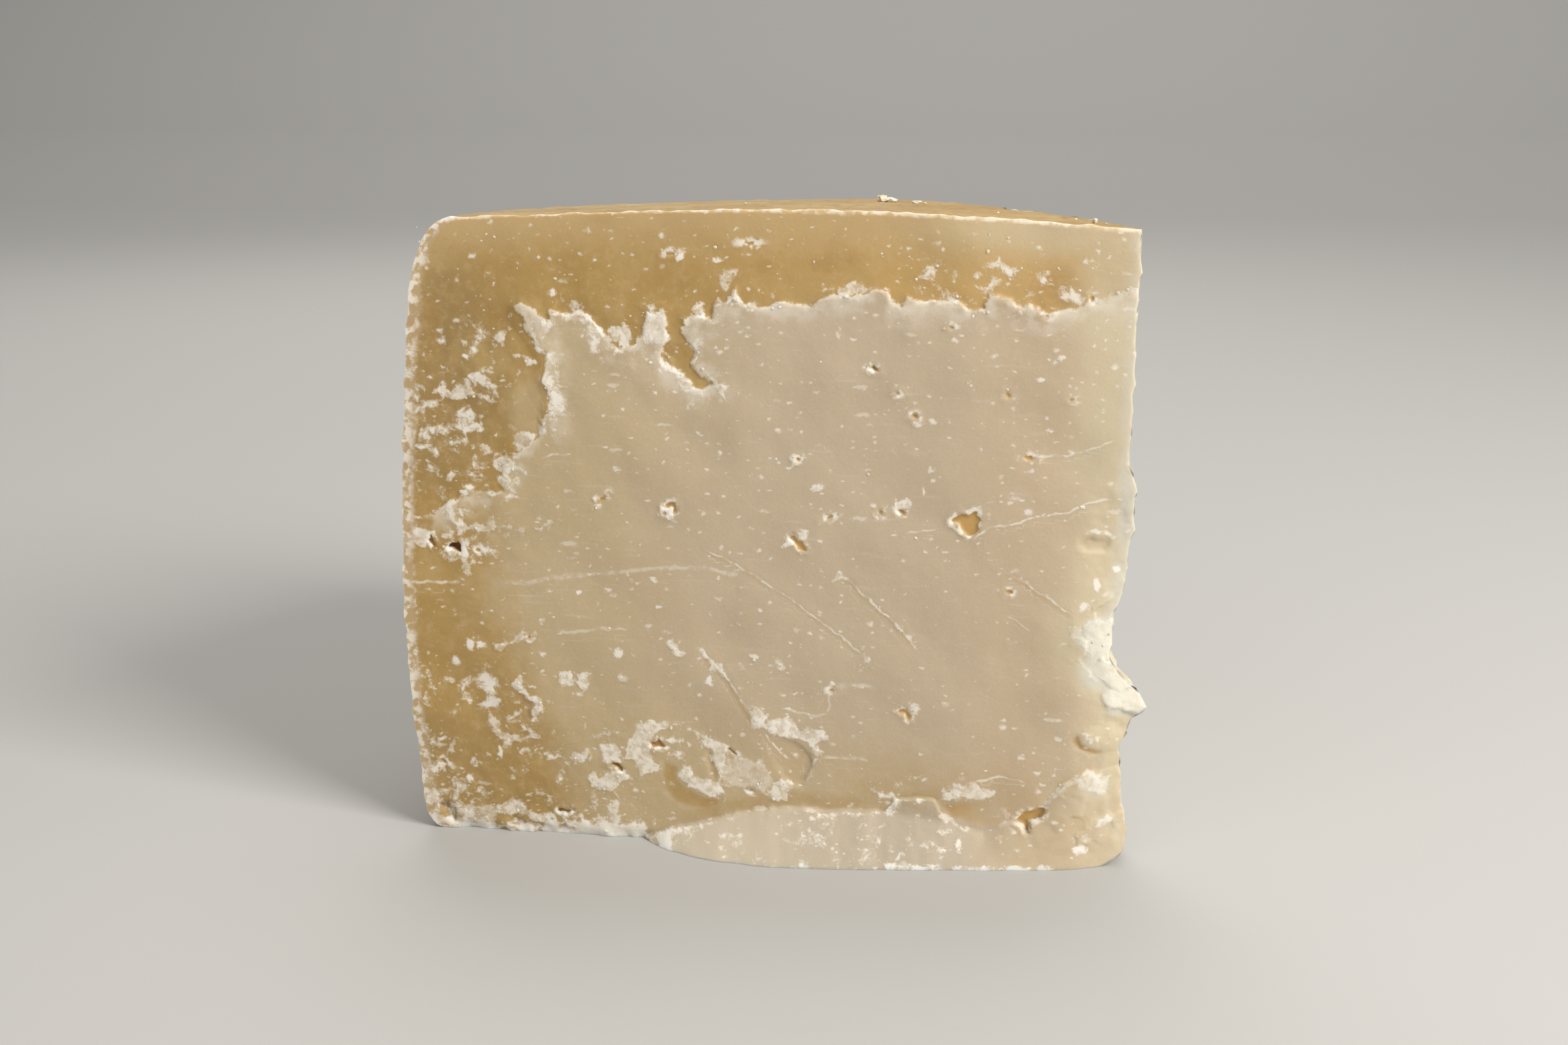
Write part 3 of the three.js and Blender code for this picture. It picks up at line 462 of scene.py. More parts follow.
# Soft white clouds: x, z, half width, half height, whiteness
clouds = [
    (-65.5, 27.3, 1.2, 1.0, 0.7), (-59.6, 27.3, 2.0, 0.6, 0.55), (-52.4, 25.9, 2.4, 0.6, 0.6),
    (-58.4, 31.9, 0.9, 0.5, 0.6), (-54, 30.5, 1.2, 0.9, 0.7), (-78.8, 27.4, 1.3, 0.6, 0.6),
    (-76.9, 30.9, 0.8, 0.5, 0.7), (-79.6, 31.3, 1, 0.8, 0.7), (-71.8, 28.1, 1.3, 0.4, 0.5),
    (-67.5, 21.1, 0.5, 0.4, 0.7), (-72, 21, 0.7, 0.35, 0.6), (-60.9, 21.1, 0.8, 0.4, 0.6),
    (-46, 28, 0.5, 0.6, 0.9), (-42.3, 27.3, 2.6, 0.6, 0.6), (-52.2, 23.3, 2, 0.4, 0.5),
    (-57.9, 14.3, 0.9, 0.4, 0.7), (-71.9, 17.1, 0.8, 0.5, 0.8), (-71.2, 14.8, 2.4, 2.4, 0.5),
    (-66.4, 13.6, 1.2, 2.4, 0.45), (-35.2, 11.6, 1.2, 0.8, 0.55), (-33, 13, 1.6, 0.5, 0.6),
    (-33.4, 25, 1.1, 1.6, 0.5), (-36.4, 3.2, 0.6, 1.4, 0.6), (-33.6, 3.2, 0.6, 1.6, 0.6),
    (-35, 2.0, 1.4, 0.5, 0.6), (-30.9, 3, 1.3, 0.7, 0.7), (-27.6, 4.7, 1.4, 0.6, 0.7),
    (-26.1, 3.3, 0.5, 1.3, 0.6), (-28.4, 2.6, 1.2, 0.4, 0.6), (-40.4, 5.6, 0.5, 1.2, 0.6),
    (-14.9, 4.6, 1.4, 0.9, 0.5), (-7.5, 3.0, 1.2, 0.7, 0.8), (-19.2, 4.4, 1.2, 0.8, 0.5),
    (-35.2, 27.6, 0.6, 0.9, 0.5), (-17.6, 5.2, 1.0, 0.8, 0.5), (-8.2, 42, 1, 0.9, 0.8),
    (-6.7, 45.4, 0.5, 1.4, 0.8), (-4, 47.5, 0.6, 0.5, 0.9), (-91.3, 12.9, 1, 0.6, 0.8),
    (-94.8, 12.2, 1.6, 0.35, 0.5), (-91.6, 27.1, 1, 0.5, 0.6), (-99.2, 13.5, 0.4, 1.2, 0.8),
    (-103.4, 31.4, 0.6, 0.9, 0.9), (-101.6, 31.6, 0.7, 0.6, 0.9), (-94, 33.6, 1.4, 1, 0.6),
    (-106, 28.9, 0.7, 1.1, 0.8), (-107.2, 25.5, 1, 0.6, 0.6), (-103.2, 26, 0.7, 0.8, 0.6),
    (-111, 16.5, 0.7, 1.1, 0.6), (-111.5, 9, 1.2, 2.4, 0.5), (-103, 11.5, 1.6, 1.1, 0.6),
    (-104.6, 9.2, 0.6, 0.6, 0.7), (-93.9, 7.3, 1.5, 0.7, 0.5), (-91.5, 6.5, 0.6, 0.8, 0.5),
    (-110.4, 3, 0.8, 0.9, 0.7), (-74, 2.8, 2, 1.2, 0.5), (-77.4, 7, 1.4, 0.8, 0.45),
    (-90.8, 66.4, 0.7, 0.7, 0.9), (-102.2, 57.2, 1.3, 0.5, 0.7), (-103.7, 56.5, 0.7, 0.3, 0.8),
    (-98.8, 56.2, 1.1, 0.5, 0.9), (-101.2, 47.4, 1, 0.8, 0.6), (-112.3, 57.5, 0.8, 2.8, 0.5),
    (-104.9, 40.4, 0.6, 0.5, 0.5), (-85.5, 40.9, 0.5, 0.5, 0.9), (-81.3, 41.4, 0.7, 0.6, 0.9),
    (-82.6, 48, 0.5, 1.2, 0.5), (-83.4, 62.6, 0.7, 0.5, 0.5), (-79.3, 60.8, 1.2, 0.8, 0.6),
    (-94.8, 83.9, 0.4, 0.9, 0.8), (-98.1, 79.9, 0.8, 0.4, 0.6), (-102.3, 77.5, 0.8, 0.4, 0.8),
    (-100.5, 78.2, 0.9, 0.5, 0.8), (-107.9, 74.1, 1.2, 0.4, 0.6), (-101.9, 68.4, 0.7, 0.9, 0.9),
    (-101.8, 66.2, 1.6, 0.8, 0.8), (-110.6, 76, 0.8, 0.9, 0.5), (-109, 64.8, 1.2, 0.9, 0.7),
    (-106.2, 66, 1.4, 0.9, 0.7), (-105.6, 64.3, 1, 0.8, 0.6), (-107.3, 62.3, 0.7, 1.4, 0.6),
    (-109.5, 84.5, 0.8, 1.6, 0.5), (-107.4, 91.9, 0.5, 0.6, 0.7), (-88.4, 87.2, 1.4, 0.7, 0.5),
    (-92.4, 87.4, 0.4, 0.6, 0.6), (-91.7, 93.6, 0.3, 0.6, 0.8), (-97.3, 88.4, 0.35, 0.5, 0.8),
    (-81.9, 92.1, 0.6, 0.4, 0.8), (-82.7, 96.6, 1.2, 0.6, 0.45), (-72.8, 86, 1.1, 0.9, 0.5),
    (-55.8, 87.7, 1.2, 0.8, 0.6), (-63.5, 92.5, 0.9, 0.5, 0.7), (-70, 94, 0.7, 0.4, 0.9),
    (-68.9, 92.8, 0.5, 0.6, 0.8), (-72.2, 76, 0.6, 0.5, 0.6), (-24.4, 88.8, 1.6, 1.2, 0.5),
    (-15.6, 91.4, 0.6, 0.5, 0.9), (-25.6, 91, 0.6, 0.5, 0.7), (-22.3, 93.4, 0.5, 0.8, 0.6),
    (-31.3, 61.9, 0.8, 0.5, 0.7), (-32.4, 59.2, 0.3, 1, 0.7), (-73.8, 43.4, 0.7, 0.5, 0.9),
    (-73.1, 38.9, 0.8, 0.4, 0.9), (-60.7, 36.9, 0.5, 0.5, 0.7), (-66.5, 66.6, 0.9, 0.6, 0.8),
    (-71.2, 66.4, 0.8, 0.4, 0.7), (-76.5, 65.8, 0.8, 0.5, 0.7), (-72, 62, 1.4, 0.4, 0.6),
    (-63.1, 63.8, 0.5, 0.6, 0.7), (-62.8, 57, 0.9, 0.5, 0.6), (-58, 51.9, 0.8, 0.5, 0.7),
    (-67, 51.9, 1.4, 0.4, 0.5), (-13.4, 79, 0.8, 0.5, 0.7), (-16, 75.9, 0.9, 0.5, 0.7),
    (-26, 75.2, 0.7, 0.7, 0.6), (-34.2, 72.2, 0.9, 0.7, 0.5), (-14.2, 68.4, 0.6, 0.6, 0.6),
]
# Flakes and hollows: outline, lift, width of the wall, direction that the lift grows in, amber tint (painted
# shade in the hollows)
flakes = [
    ([(-57, 19.2), (-53, 18.4), (-50.5, 17.4), (-49.1, 15.8), (-48.8, 14.6), (-49.3, 12.4), (-50.6, 10.7),
        (-52, 10.5), (-53.4, 12), (-55, 14.4)], -0.4, 0.4, (1, -0.5), 0.35),
    ([(-72.8, 13.6), (-70.4, 13.2), (-70.4, 10.5), (-69, 9.3), (-66.5, 8.3), (-63.4, 7.8), (-64, 6.4),
        (-68, 5.8), (-71, 6.8), (-72.6, 9)], -0.12, 1.4, None, 0.7),
    ([(-65.4, 15.5), (-64.7, 14.6), (-64.1, 11), (-64.4, 10.6), (-65.2, 12.5), (-65.6, 14.4)], -0.2, 0.35,
        None, 0.9),
    ([(-105, 28.5), (-98, 28), (-96.8, 25.5), (-95.4, 23.6), (-94, 22.6), (-94, 19.4), (-98, 18.6),
        (-104, 20)], -0.2, 0.4, (1, 0), 0.5),
    ([(-110, 4.5), (-107.8, 4.3), (-107.2, 3.1), (-106.4, 1.1), (-107.8, 0.6), (-108.6, 2.2),
        (-109.4, 3.4)], -0.9, 0.4, None, 1.0),
    ([(-90.1, 1.4), (-88.7, 1.7), (-88.2, 0.3), (-88.4, -1), (-89.7, -1)], -0.7, 0.3, None, 1.0),
    ([(-98, 3), (-94, 1.7), (-91.6, 1), (-92, 0.2), (-96, 0.4), (-98.4, 1.6)], -0.35, 0.4, None, 0.6),
    ([(-28.8, 8.9), (-25.1, 9.5), (-22.4, 9.5), (-19.8, 8.9), (-19.4, 7.6), (-20.4, 6.6), (-22.4, 6),
        (-24.5, 6.2), (-27.3, 7)], -0.3, 1.2, (-1, 0.4), 0.85),
    # painted shadow line above the lip's block
    ([(-35.6, 10.2), (-33, 10.5), (-29, 10.3), (-28.6, 9.4), (-30, 9.6), (-35.4, 9.6)], -0.1, 0.3, None,
        0.8),
    ([(-4.9, 27.9), (-4.6, 26.4), (-3.6, 25.5), (-2.4, 25.6), (-1.2, 24.7), (0, 24.4), (8, 24), (8, 32),
        (-2.7, 31.2), (-4, 29.6)], 0.5, 0.5, (0.2, -1), 0),
    ([(-9.8, 39.6), (-5.2, 39.9), (2, 39.6), (2, 33), (-5.8, 33), (-8.9, 34.6), (-10.4, 35.8),
        (-10.1, 37.6)], 0.25, 0.8, (0, 1), 0),
    ([(-9.2, 52.6), (-7.5, 53), (-5, 52.6), (-4.6, 51.4), (-5.4, 50.4), (-8.4, 50.5), (-9.4, 51.4)], -0.4,
        0.9, None, 0.45),
    ([(-5.2, 7.4), (-3.4, 8.3), (-1.5, 8.9), (4, 8.9), (4, 7.6), (-3, 6.8), (-4.7, 5.9)], 0.3, 0.6,
        (-0.3, 1), 0),
    ([(-9.3, 21.7), (-8.2, 21.6), (-7.6, 20.3), (-6.4, 19.3), (-4.8, 19), (-4.6, 18.3), (-6.4, 18.3),
        (-8.1, 19.1), (-9.2, 20.4)], -0.2, 0.8, None, 1.0),
]
bulge = {"place": (-4.8, 20.8), "half": (4.0, 2.4), "lift": 0.4}  # smooth swelling at the tip
wander = {"coarse": 0.6, "middle": 0.35, "fine": 0.3}  # how far the outlines wander, in millimetres
relief = {  # of the front cut, in millimetres
    "wave": 0.25, "crumb": 0.06, "curl": 0.2, "plateWave": 0.2, "scar": 0.2, "eyeRim": 0.1, "rough": 0.16,
    "film": 0.05, "filmCrumb": 0.12, "lipCrumb": 0.2, "tip": 0.2, "tipGrain": 0.05,
    "chips": 0.28, "planes": 0.13, "foot": 0.5, "footCrumb": 0.8,
}
eyeWall = {"tone": 0.25, "depth": 0.55, "start": -0.08, "run": 0.6}  # of a small eye
shapeWall = {"start": -0.1, "run": 0.35}  # of a larger eye


def eyeFields(x, z, ovals, outlines=()):  # distance to the nearest eye's edge, its depth and its tone
    edge = np.full(np.shape(x), farGap)
    depth, tone = np.zeros(np.shape(x)), np.full(np.shape(x), eyeWall["tone"])
    for centreX, centreZ, halfX, halfZ, tilt, deep in ovals:
        turn = math.radians(tilt)
        dx, dz = x - centreX, z - centreZ
        u = (dx * math.cos(turn) + dz * math.sin(turn)) / halfX
        v = (-dx * math.sin(turn) + dz * math.cos(turn)) / halfZ
        gap = (np.hypot(u, v) - 1) * min(halfX, halfZ)
        edge = np.minimum(edge, gap)
        wall = blend(-gap, eyeWall["start"], eyeWall["run"] * min(halfX, halfZ))
        depth = np.maximum(depth, eyeWall["depth"] * deep * wall)
    for eyeTone, deep, outline in outlines:
        gap = -outlineGap(outline, x, z)
        tone = np.where(gap < np.minimum(edge, 2), eyeTone, tone)
        edge = np.minimum(edge, gap)
        depth = np.maximum(depth, deep * blend(-gap, shapeWall["start"], shapeWall["run"]))
    return edge, depth, tone


# Relief and colour shares of the front cut: blend takes places on the face,
# the factors are millimetres of relief or shares of a colour
def addFlakes(height, x, z, nearX, nearZ):  # flakes that rise to their torn edge, and hollows with a painted amber shade
    tint = np.zeros_like(x)
    for outline, lift, wall, toward, amber in flakes:
        gap = outlineGap(outline, nearX, nearZ)
        rise = 1
        if toward:
            ends = [u * toward[0] + v * toward[1] for u, v in outline if u > -100 and u < 6]
            rise = np.clip((x * toward[0] + z * toward[1] - min(ends)) / (max(ends) - min(ends)), 0, 1)
        height += lift * rise * blend(gap, -0.5 * wall, wall) * blend(z, 0, 2)
        # painted shade: amber tint inside the hollows
        tint = np.maximum(tint, amber * blend(gap, -0.3, 0.6) * (0.25 + 0.75 * rise))
    return height, tint


def addScars(height, tint, nearX, nearZ):  # one side stands higher, the lower one gets a painted golden shade
    scarSide, scar = np.full_like(nearX, farGap), np.zeros_like(nearX)
    for path, halfWidth, lift, white in scars:
        gap, part, side = pathGap(path, nearX, nearZ)
        ends = blend(part, 0, 0.08) * blend(part, 1, 0.92)
        step = (1 - np.exp(-(gap / 0.3) ** 2)) * np.exp(-gap / 2.6)  # steep at the line, then running out
        height += relief["scar"] * lift * side * step * ends
        # painted shade along the lower side of the step
        tint = np.maximum(tint, np.where(side < 0, 2.2 * lift, 0) * np.exp(-gap / 0.8) * ends)
        closer = gap / halfWidth < np.abs(scarSide)
        scarSide = np.where(closer, side * gap / halfWidth, scarSide)
        scar = np.where(closer, white * ends, scar)
    return height, tint, scar, scarSide


def filmFields(tornX, tornZ):  # gap to the nearest white torn patch and its whiteness
    film, filmWhite = np.full_like(tornX, noFilm), np.zeros_like(tornX)
    for white, outline in films:
        gap = outlineGap(outline, tornX, tornZ)
        filmWhite = np.where(gap > film, white, filmWhite)
        film = np.maximum(film, gap)
    return film, filmWhite


def roughPart(x, z):  # the rough left side and the rough foot
    leftShare = blend(x, -86, -104) * (1 - 0.5 * blend(z, 25, 30) * blend(z, 48, 43))
    lowShare = blend(z, 30, 12) * blend(x, -56, -84)
    return np.clip(leftShare + 0.7 * lowShare, 0, 1) * (1 - blend(z, 80, 90))


def chalkShare(x, z, nearX, nearZ, plate, roughShare):
    chalk = np.zeros_like(x)
    for centreX, centreZ, halfX, halfZ, white in clouds:
        reach = np.hypot((nearX - centreX) / halfX, (nearZ - centreZ) / halfZ)
        chalk = np.maximum(chalk, white * (1.2 - 0.6 * reach))
    chalk = np.maximum(chalk, 0.42 * roughShare + 0.32 * crumble(x, z, 6, 61))
    torn = 0.4 - 0.3 * np.abs(plate - 0.6) + 0.66 * crumble(x, z, 2.6, 44)
    chalk = np.maximum(chalk, torn * (0.6 + 0.25 * blend(x, -56, -64)))
    frosted = blend(plate, 8, 1) * (plate > 0) * blend(x, -60, -70) * blend(z, 62, 72)
    chalk = np.maximum(chalk, frosted * (0.36 + 0.45 * crumble(x, z, 4.5, 69)))
    foam = blend(x, -44, -32) * blend(z, 85.5, 87.5) * blend(z, 96, 92) * blend(x, -4, -9)
    chalk = np.maximum(chalk, foam * (0.38 + 0.4 * crumble(x, z, 1.8, 95)))
    foot = blend(z, 7, 0.5) * blend(x, -70, -78)
    return np.maximum(chalk, foot * (0.72 + 0.5 * crumble(x, z, 3, 79)))


def lipFields(x, z):  # the lip at the foot, a thin torn flake at its top
    ragged = z + 0.22 * grain(x, z, 2.6, 71) + 0.1 * grain(x, z, 0.9, 72)
    top = along(face["lipTop"], x)
    edge = 0.2 + 1.1 * blend(x, -28, -25) * blend(x, -17, -20)  # the edge softens beside the hollow
    share = 1 - blend(ragged, top - edge, top + edge)
    wobble = blend(x, -68, -72) * (0.7 * grain(x, z, 1.5, 73) + 0.4 * grain(x, z, 0.7, 74))
    reach = along(face["lipReach"], x + wobble)
    thick = blend(reach, 1, 3)
    shoulder = along(face["lipShoulder"], x)
    rise = np.clip(z / shoulder, 0, 1)
    topShare = face["lipTopShare"] * (1 - 0.65 * blend(x, -41, -37) * blend(x, -16, -22))
    lip = reach * (1 - (1 - topShare) * rise) + relief["lipCrumb"] * crumble(x, z, 2.2, 75) * thick
    onLip = share * thick
    whiteEdge = onLip * blend(z, top - 1.4, top - 0.2) * blend(x, -18, -28)
    cloud = 0.34 + 0.32 * crumble(x, z, 3.4, 77) + 0.5 * blend(x, -69, -73) + 0.2 * whiteEdge
    foot = blend(z, 1.5, 0.3) * blend(x, -41, -35) * blend(x, -7, -12)
    footChalk = foot * (0.62 + 0.4 * crumble(x, z, 2.6, 78))
    # the lip's tone share is full on the sloped face and lower on the top block, which puts the lip's painted
    # shade on the slope that catches more light
    return {
        "top": top, "share": share, "relief": lip * share,
        "tint": onLip * (1 - 0.6 * blend(z, shoulder - 0.4, shoulder + 0.8)),
        "chalk": np.maximum(footChalk, onLip * cloud * blend(x, -14, -36)),
    }


def amberShare(x, z, tornX, tornZ, tint, lip):  # left zone, a painted golden shadow above the lip, painted shade in hollows and under scars, corner at the tip's foot
    leftEdge = along(face["amberEdge"], z)
    softAmber = blend(x + 3.5 * crumble(x, z, 6, 91), leftEdge + 9, leftEdge - 10) * (1 - blend(z, 60, 70))
    # painted shadow: a golden band just above the lip's top edge
    golden = 0.5 * np.exp(-((z - lip["top"] - 1.2) / 1.8) ** 2) * blend(x, -76, -64) * blend(x, -14, -24)
    golden = golden * (1 - 0.6 * blend(x, -44, -38))
    golden = np.maximum(golden, 0.36 * blend(z, 24, 11) * blend(x, -52, -38) * blend(x, -8, -14))
    corner = 0.55 * blend(np.hypot((tornX + 9) / 6, (tornZ - 8) / 4.5), 1, 0.2)
    return np.maximum(np.maximum(0.9 * softAmber, tint), np.maximum(golden * (1 - lip["share"]), corner))


def paleShare(x, z, tornX, tornZ, tint, tipEdge):  # the tip's painted glow, its pale edge band, whiter parts with painted highlights, a dish at the left
    glowStart = tipEdge - along(face["glowReach"], z) - 8
    # painted glow: the paste brightens towards the tip's edge, as where light shines through it
    glow = blend(x + 1.2 * crumble(x, z, 5, 93), glowStart, tipEdge - 2)
    pale = glow * (1 - 0.45 * blend(z, 27, 20)) + along(face["paleEdgeGlow"], z) * blend(x, tipEdge - 5, tipEdge)
    pale = np.maximum(pale, blend(z, 90, 98) * blend(x, -50, -8))
    # a pale line right at the edge, partly painted glow
    pale += 0.4 * blend(x + 0.6 * grain(x, z, 1.5, 99), tipEdge - 2.2, tipEdge - 0.4) * blend(z, 42, 50)
    blob = np.zeros_like(x)
    for centreX, centreZ, halfX, halfZ, amount in face["tipBlobs"]:
        reach = np.hypot((tornX - centreX) / halfX, (tornZ - centreZ) / halfZ)
        blob = np.maximum(blob, amount * blend(reach, 1.35, 0.35))
    dish = 0.5 * blend(np.hypot((x + 93) / 5, (z - 70) / 7) + 0.3 * crumble(x, z, 3, 97), 1.2, 0.3)
    return np.minimum(np.maximum(pale + blob, dish), face["mostPale"]) * (1 - 0.7 * tint)


def warmShare(x, z):
    warm = np.clip(0.75 * blend(x, -40, -100) + 0.5 * blend(z, 30, 8) * blend(x, -10, -40), 0, 1)
    return warm - blend(x, -34, -12) + 0.5 * blend(x, -86, -106) * blend(z, 46, 70) * blend(z, 99, 84)


def frontFields(x, z):
    coarseX, coarseZ = wander["coarse"] * grain(x, z, 3.1, 21), wander["coarse"] * grain(x, z, 3.3, 23)
    middleX, middleZ = wander["middle"] * grain(x, z, 1.7, 25), wander["middle"] * grain(x, z, 1.6, 26)
    fineX, fineZ = wander["fine"] * grain(x, z, 0.95, 22), wander["fine"] * grain(x, z, 0.9, 24)
    wx, wz = x + coarseX + middleX + fineX, z + coarseZ + middleZ + fineZ
    nearX, nearZ = x + 0.3 * coarseX + 0.7 * fineX, z + 0.3 * coarseZ + 0.7 * fineZ
    tornX, tornZ = nearX + 0.8 * middleX + 0.3 * fineX, nearZ + 0.8 * middleZ + 0.3 * fineZ
    rimFade = blend(x, -112, -104)
    tipFade = 1 - blend(x, -16, -5)
    height = relief["wave"] * grain(x, z, 7, 1) + relief["crumb"] * crumble(x, z, 2.6, 31)
    # the plate of pale paste, with a torn shelf at its left edge
    plate = outlineGap(face["plateOutline"], wx, wz)
    shelf = plate + 0.9 + 1.5 * crumble(x, z, 3.0, 41)
    level = blend(plate, -0.25, 0.3)
    level = level + 0.5 * blend(x, -62, -72) * (blend(shelf, -0.2, 0.4) - level)
    curl = np.exp(-((plate - 0.5) / 0.6) ** 2) * (0.2 + 0.4 * grain(x, z, 2.3, 43))
    height += (face["plateStep"] * (level - 1) + relief["curl"] * curl * (level > 0.5)) * rimFade * tipFade
    height += relief["plateWave"] * grain(x, z, 4.2, 45) * blend(plate, 9, 0) * blend(plate, -3, 0) * tipFade
    # tint holds painted shade, in the hollows and on the scars' lower sides
    height, tint = addFlakes(height, x, z, nearX, nearZ)
    height, tint, scar, scarSide = addScars(height, tint, nearX, nearZ)
    film, filmWhite = filmFields(tornX, tornZ)
    filmLift = relief["film"] + relief["filmCrumb"] * crumble(x, z, 1.4, 65)
    height += blend(film, -0.3, 0.5) * filmWhite * filmLift
    # eyes with torn rims
    eyeGap, eyeDepth, eyeTone = eyeFields(x + 0.4 * fineX, z + 0.4 * fineZ, eyes, eyeShapes)
    eyeRim = np.exp(-((eyeGap - 0.4) / 0.35) ** 2)
    height += relief["eyeRim"] * eyeRim * (0.6 + 0.9 * grain(x, z, 0.9, 51))
    height -= eyeDepth
    roughShare = roughPart(x, z)
    height += relief["rough"] * roughShare * crumble(x, z, 2.4, 67) * rimFade
    lip = lipFields(x, z)
    height += lip["relief"]
    # the face rolls back and breaks up towards the broken tip
    tipEdge = along(face["tipEdge"], z)
    height -= face["tipRound"] * (blend(x, -10, 4) * (1 - blend(z, 42, 66)))
    swellX = (x - bulge["place"][0]) / bulge["half"][0]
    swellZ = (z - bulge["place"][1]) / bulge["half"][1]
    height += bulge["lift"] * np.clip(1 - (swellX ** 2 + swellZ ** 2), 0, 1)
    broken = blend(x, -12, -5) * (1 - blend(z, 58, 66))
    height += broken * (relief["tip"] * crumble(x, z, 5.5, 85) + relief["tipGrain"] * grain(x, z, 1.2, 87))
    chipped = blend(x, tipEdge - 8, tipEdge - 3) * blend(z, 21, 25) * blend(z, 46, 41)
    planes = lip["share"] * blend(x, -16, -12) * blend(x, tipEdge, tipEdge - 2)
    chips = facets(x + coarseX + fineX, z + coarseZ + fineZ, 3.3, 83)
    height += (relief["chips"] * chipped + relief["planes"] * planes) * chips
    # the crumbly foot to the left of the lip
    foot = blend(z, 2.2, 0) * blend(x, -72, -77) * rimFade
    height -= foot * (relief["foot"] + relief["footCrumb"] * crumble(x, 0.4 * z, 2.4, 89))
    return {
        "height": height, "plate": plate, "broken": broken, "eyeGap": eyeGap, "eyeTone": eyeTone,
        "scar": scar, "scarSide": scarSide, "film": film, "filmWhite": filmWhite, "lip": lip["tint"],
        "chalk": np.maximum(chalkShare(x, z, nearX, nearZ, plate, roughShare), lip["chalk"]),
        "amber": amberShare(x, z, tornX, tornZ, tint, lip),
        "pale": paleShare(x, z, tornX, tornZ, tint, tipEdge), "warm": warmShare(x, z),
    }


# The second cut, by the distance along it and the height
rearCut = {
    "plateTop": 86, "plateStep": 0.55,
    "plateSide": [(0, 130), (38, 122), (46, 108), (55, 98), (66, 91), (80, 88), (100, 92)],
    "eyes": [  # distance, z, half width, half height, tilt in degrees, depth
        (30, 62, 1.6, 1.1, 20, 1.4), (44, 47, 1.2, 1.0, -10, 1.0), (58, 71, 0.9, 0.6, 30, 0.8),
        (72, 52, 1.6, 1.0, 0, 1.4), (63, 30, 1.0, 0.7, -25, 0.9), (38, 24, 1.4, 0.8, 10, 1.2),
        (85, 40, 1.2, 0.8, 0, 1.4), (50, 14, 0.9, 0.6, 0, 0.8), (24, 40, 0.7, 0.6, 0, 0.6),
        (78, 20, 0.8, 0.5, 35, 0.8), (98, 58, 1.3, 0.7, 15, 1.5), (92, 76, 0.8, 0.5, 0, 0.8),
    ],
}


def rearFields(out, z):
    side = along(rearCut["plateSide"], z)
    plate = np.minimum(rearCut["plateTop"] - z, side - out)
    plate = plate + 3.4 * crumble(out, z, 9, 105) + 0.8 * grain(out, z, 1.6, 108)
    bentOut, bentZ = out + 0.4 * grain(out, z, 1.1, 101), z + 0.4 * grain(out, z, 1.2, 102)
    eyeGap, eyeDepth, _ = eyeFields(bentOut, bentZ, rearCut["eyes"])
    low = blend(z, 26, 8)
    chalk = 0.42 * np.maximum(blend(out, 78, 98), 0.8 * low) + 0.6 * crumble(out, z, 4.2, 111) - 0.2
    chalk = np.maximum(chalk, 0.6 - 0.4 * np.abs(plate - 0.5) + 0.5 * crumble(out, z, 3.6, 119))
    rough = blend(chalk, 0.3, 0.9)
    height = rearCut["plateStep"] * (blend(plate, -0.6, 0.6) - 1)
    height = height + 0.5 * grain(out, z, 14, 107) + 0.2 * crumble(out, z, 3, 113)
    height += rough * (0.15 + 0.35 * facets(out, z, 2.3, 117)) - eyeDepth
    return {
        "height": height * blend(out, 5, 16), "plate": plate, "eyeGap": eyeGap, "chalk": chalk,
        "amber": 0.9 * blend(out + 6 * crumble(out, z, 9, 115), 82, 106),
        "pale": 0.6 * blend(out, 12, 3), "warm": blend(out, 40, 100),
    }


# The block: a cube cut into cells, finest on the front cut, then bent to the wedge
block = {
    "cells": (57, 34, 49),  # rim to tip, front to rear, foot to top
    "finer": [(1, 0.0, 3), (1, 1.0, 1), (0, 0.0, 1), (0, 1.0, 1), (2, 1.0, 1)],  # axis, side, extra cuts
    "depthGrowth": 0.72,  # how much closer the rows stand behind the front cut
    "rimPower": 5,  # how close to the rim the rows take up its profile
    "reliefDepth": 14.0,  # the front relief runs out this far behind the cut
    "reliefFall": 1.5,
}


def onSide(element, axis, place):
    return all(abs(v.co[axis] - place) < tiny for v in element.verts)


def blockMesh():
    bm = bmesh.new()
    bmesh.ops.create_cube(bm, size=1.0)
    bmesh.ops.translate(bm, verts=bm.verts, vec=(0.5, 0.5, 0.5))
    for axis, cells in enumerate(block["cells"]):
        rows = [e for e in bm.edges if abs(e.verts[0].co[axis] - e.verts[1].co[axis]) > 0.5]
        bmesh.ops.subdivide_edges(bm, edges=rows, cuts=cells - 1, use_grid_fill=True)
    for axis, place, cuts in block["finer"]:
        side = [f for f in bm.faces if onSide(f, axis, place)]
        edges = {e for f in side for e in f.edges}
        if place != 0.0 or axis != 1:  # the front's own edges are cut once only
            edges = {e for e in edges if not onSide(e, 1, 0.0)}
        bmesh.ops.subdivide_edges(bm, edges=list(edges), cuts=cuts, use_grid_fill=True)
    refineFront(bm)
    for f in bm.faces:
        rind = onSide(f, 0, 0.0) or onSide(f, 2, 0.0) or onSide(f, 2, 1.0)
        f.material_index = 1 if rind else 0
        f.smooth = True
    for e in bm.edges:  # the edges between the sides stay crisp
        e.smooth = sum(onSide(e, axis, place) for axis in range(3) for place in (0.0, 1.0)) < 2
    many = [f for f in bm.faces if len(f.verts) > 4]
    bmesh.ops.triangulate(bm, faces=many, quad_method="BEAUTY", ngon_method="BEAUTY")
    return bm


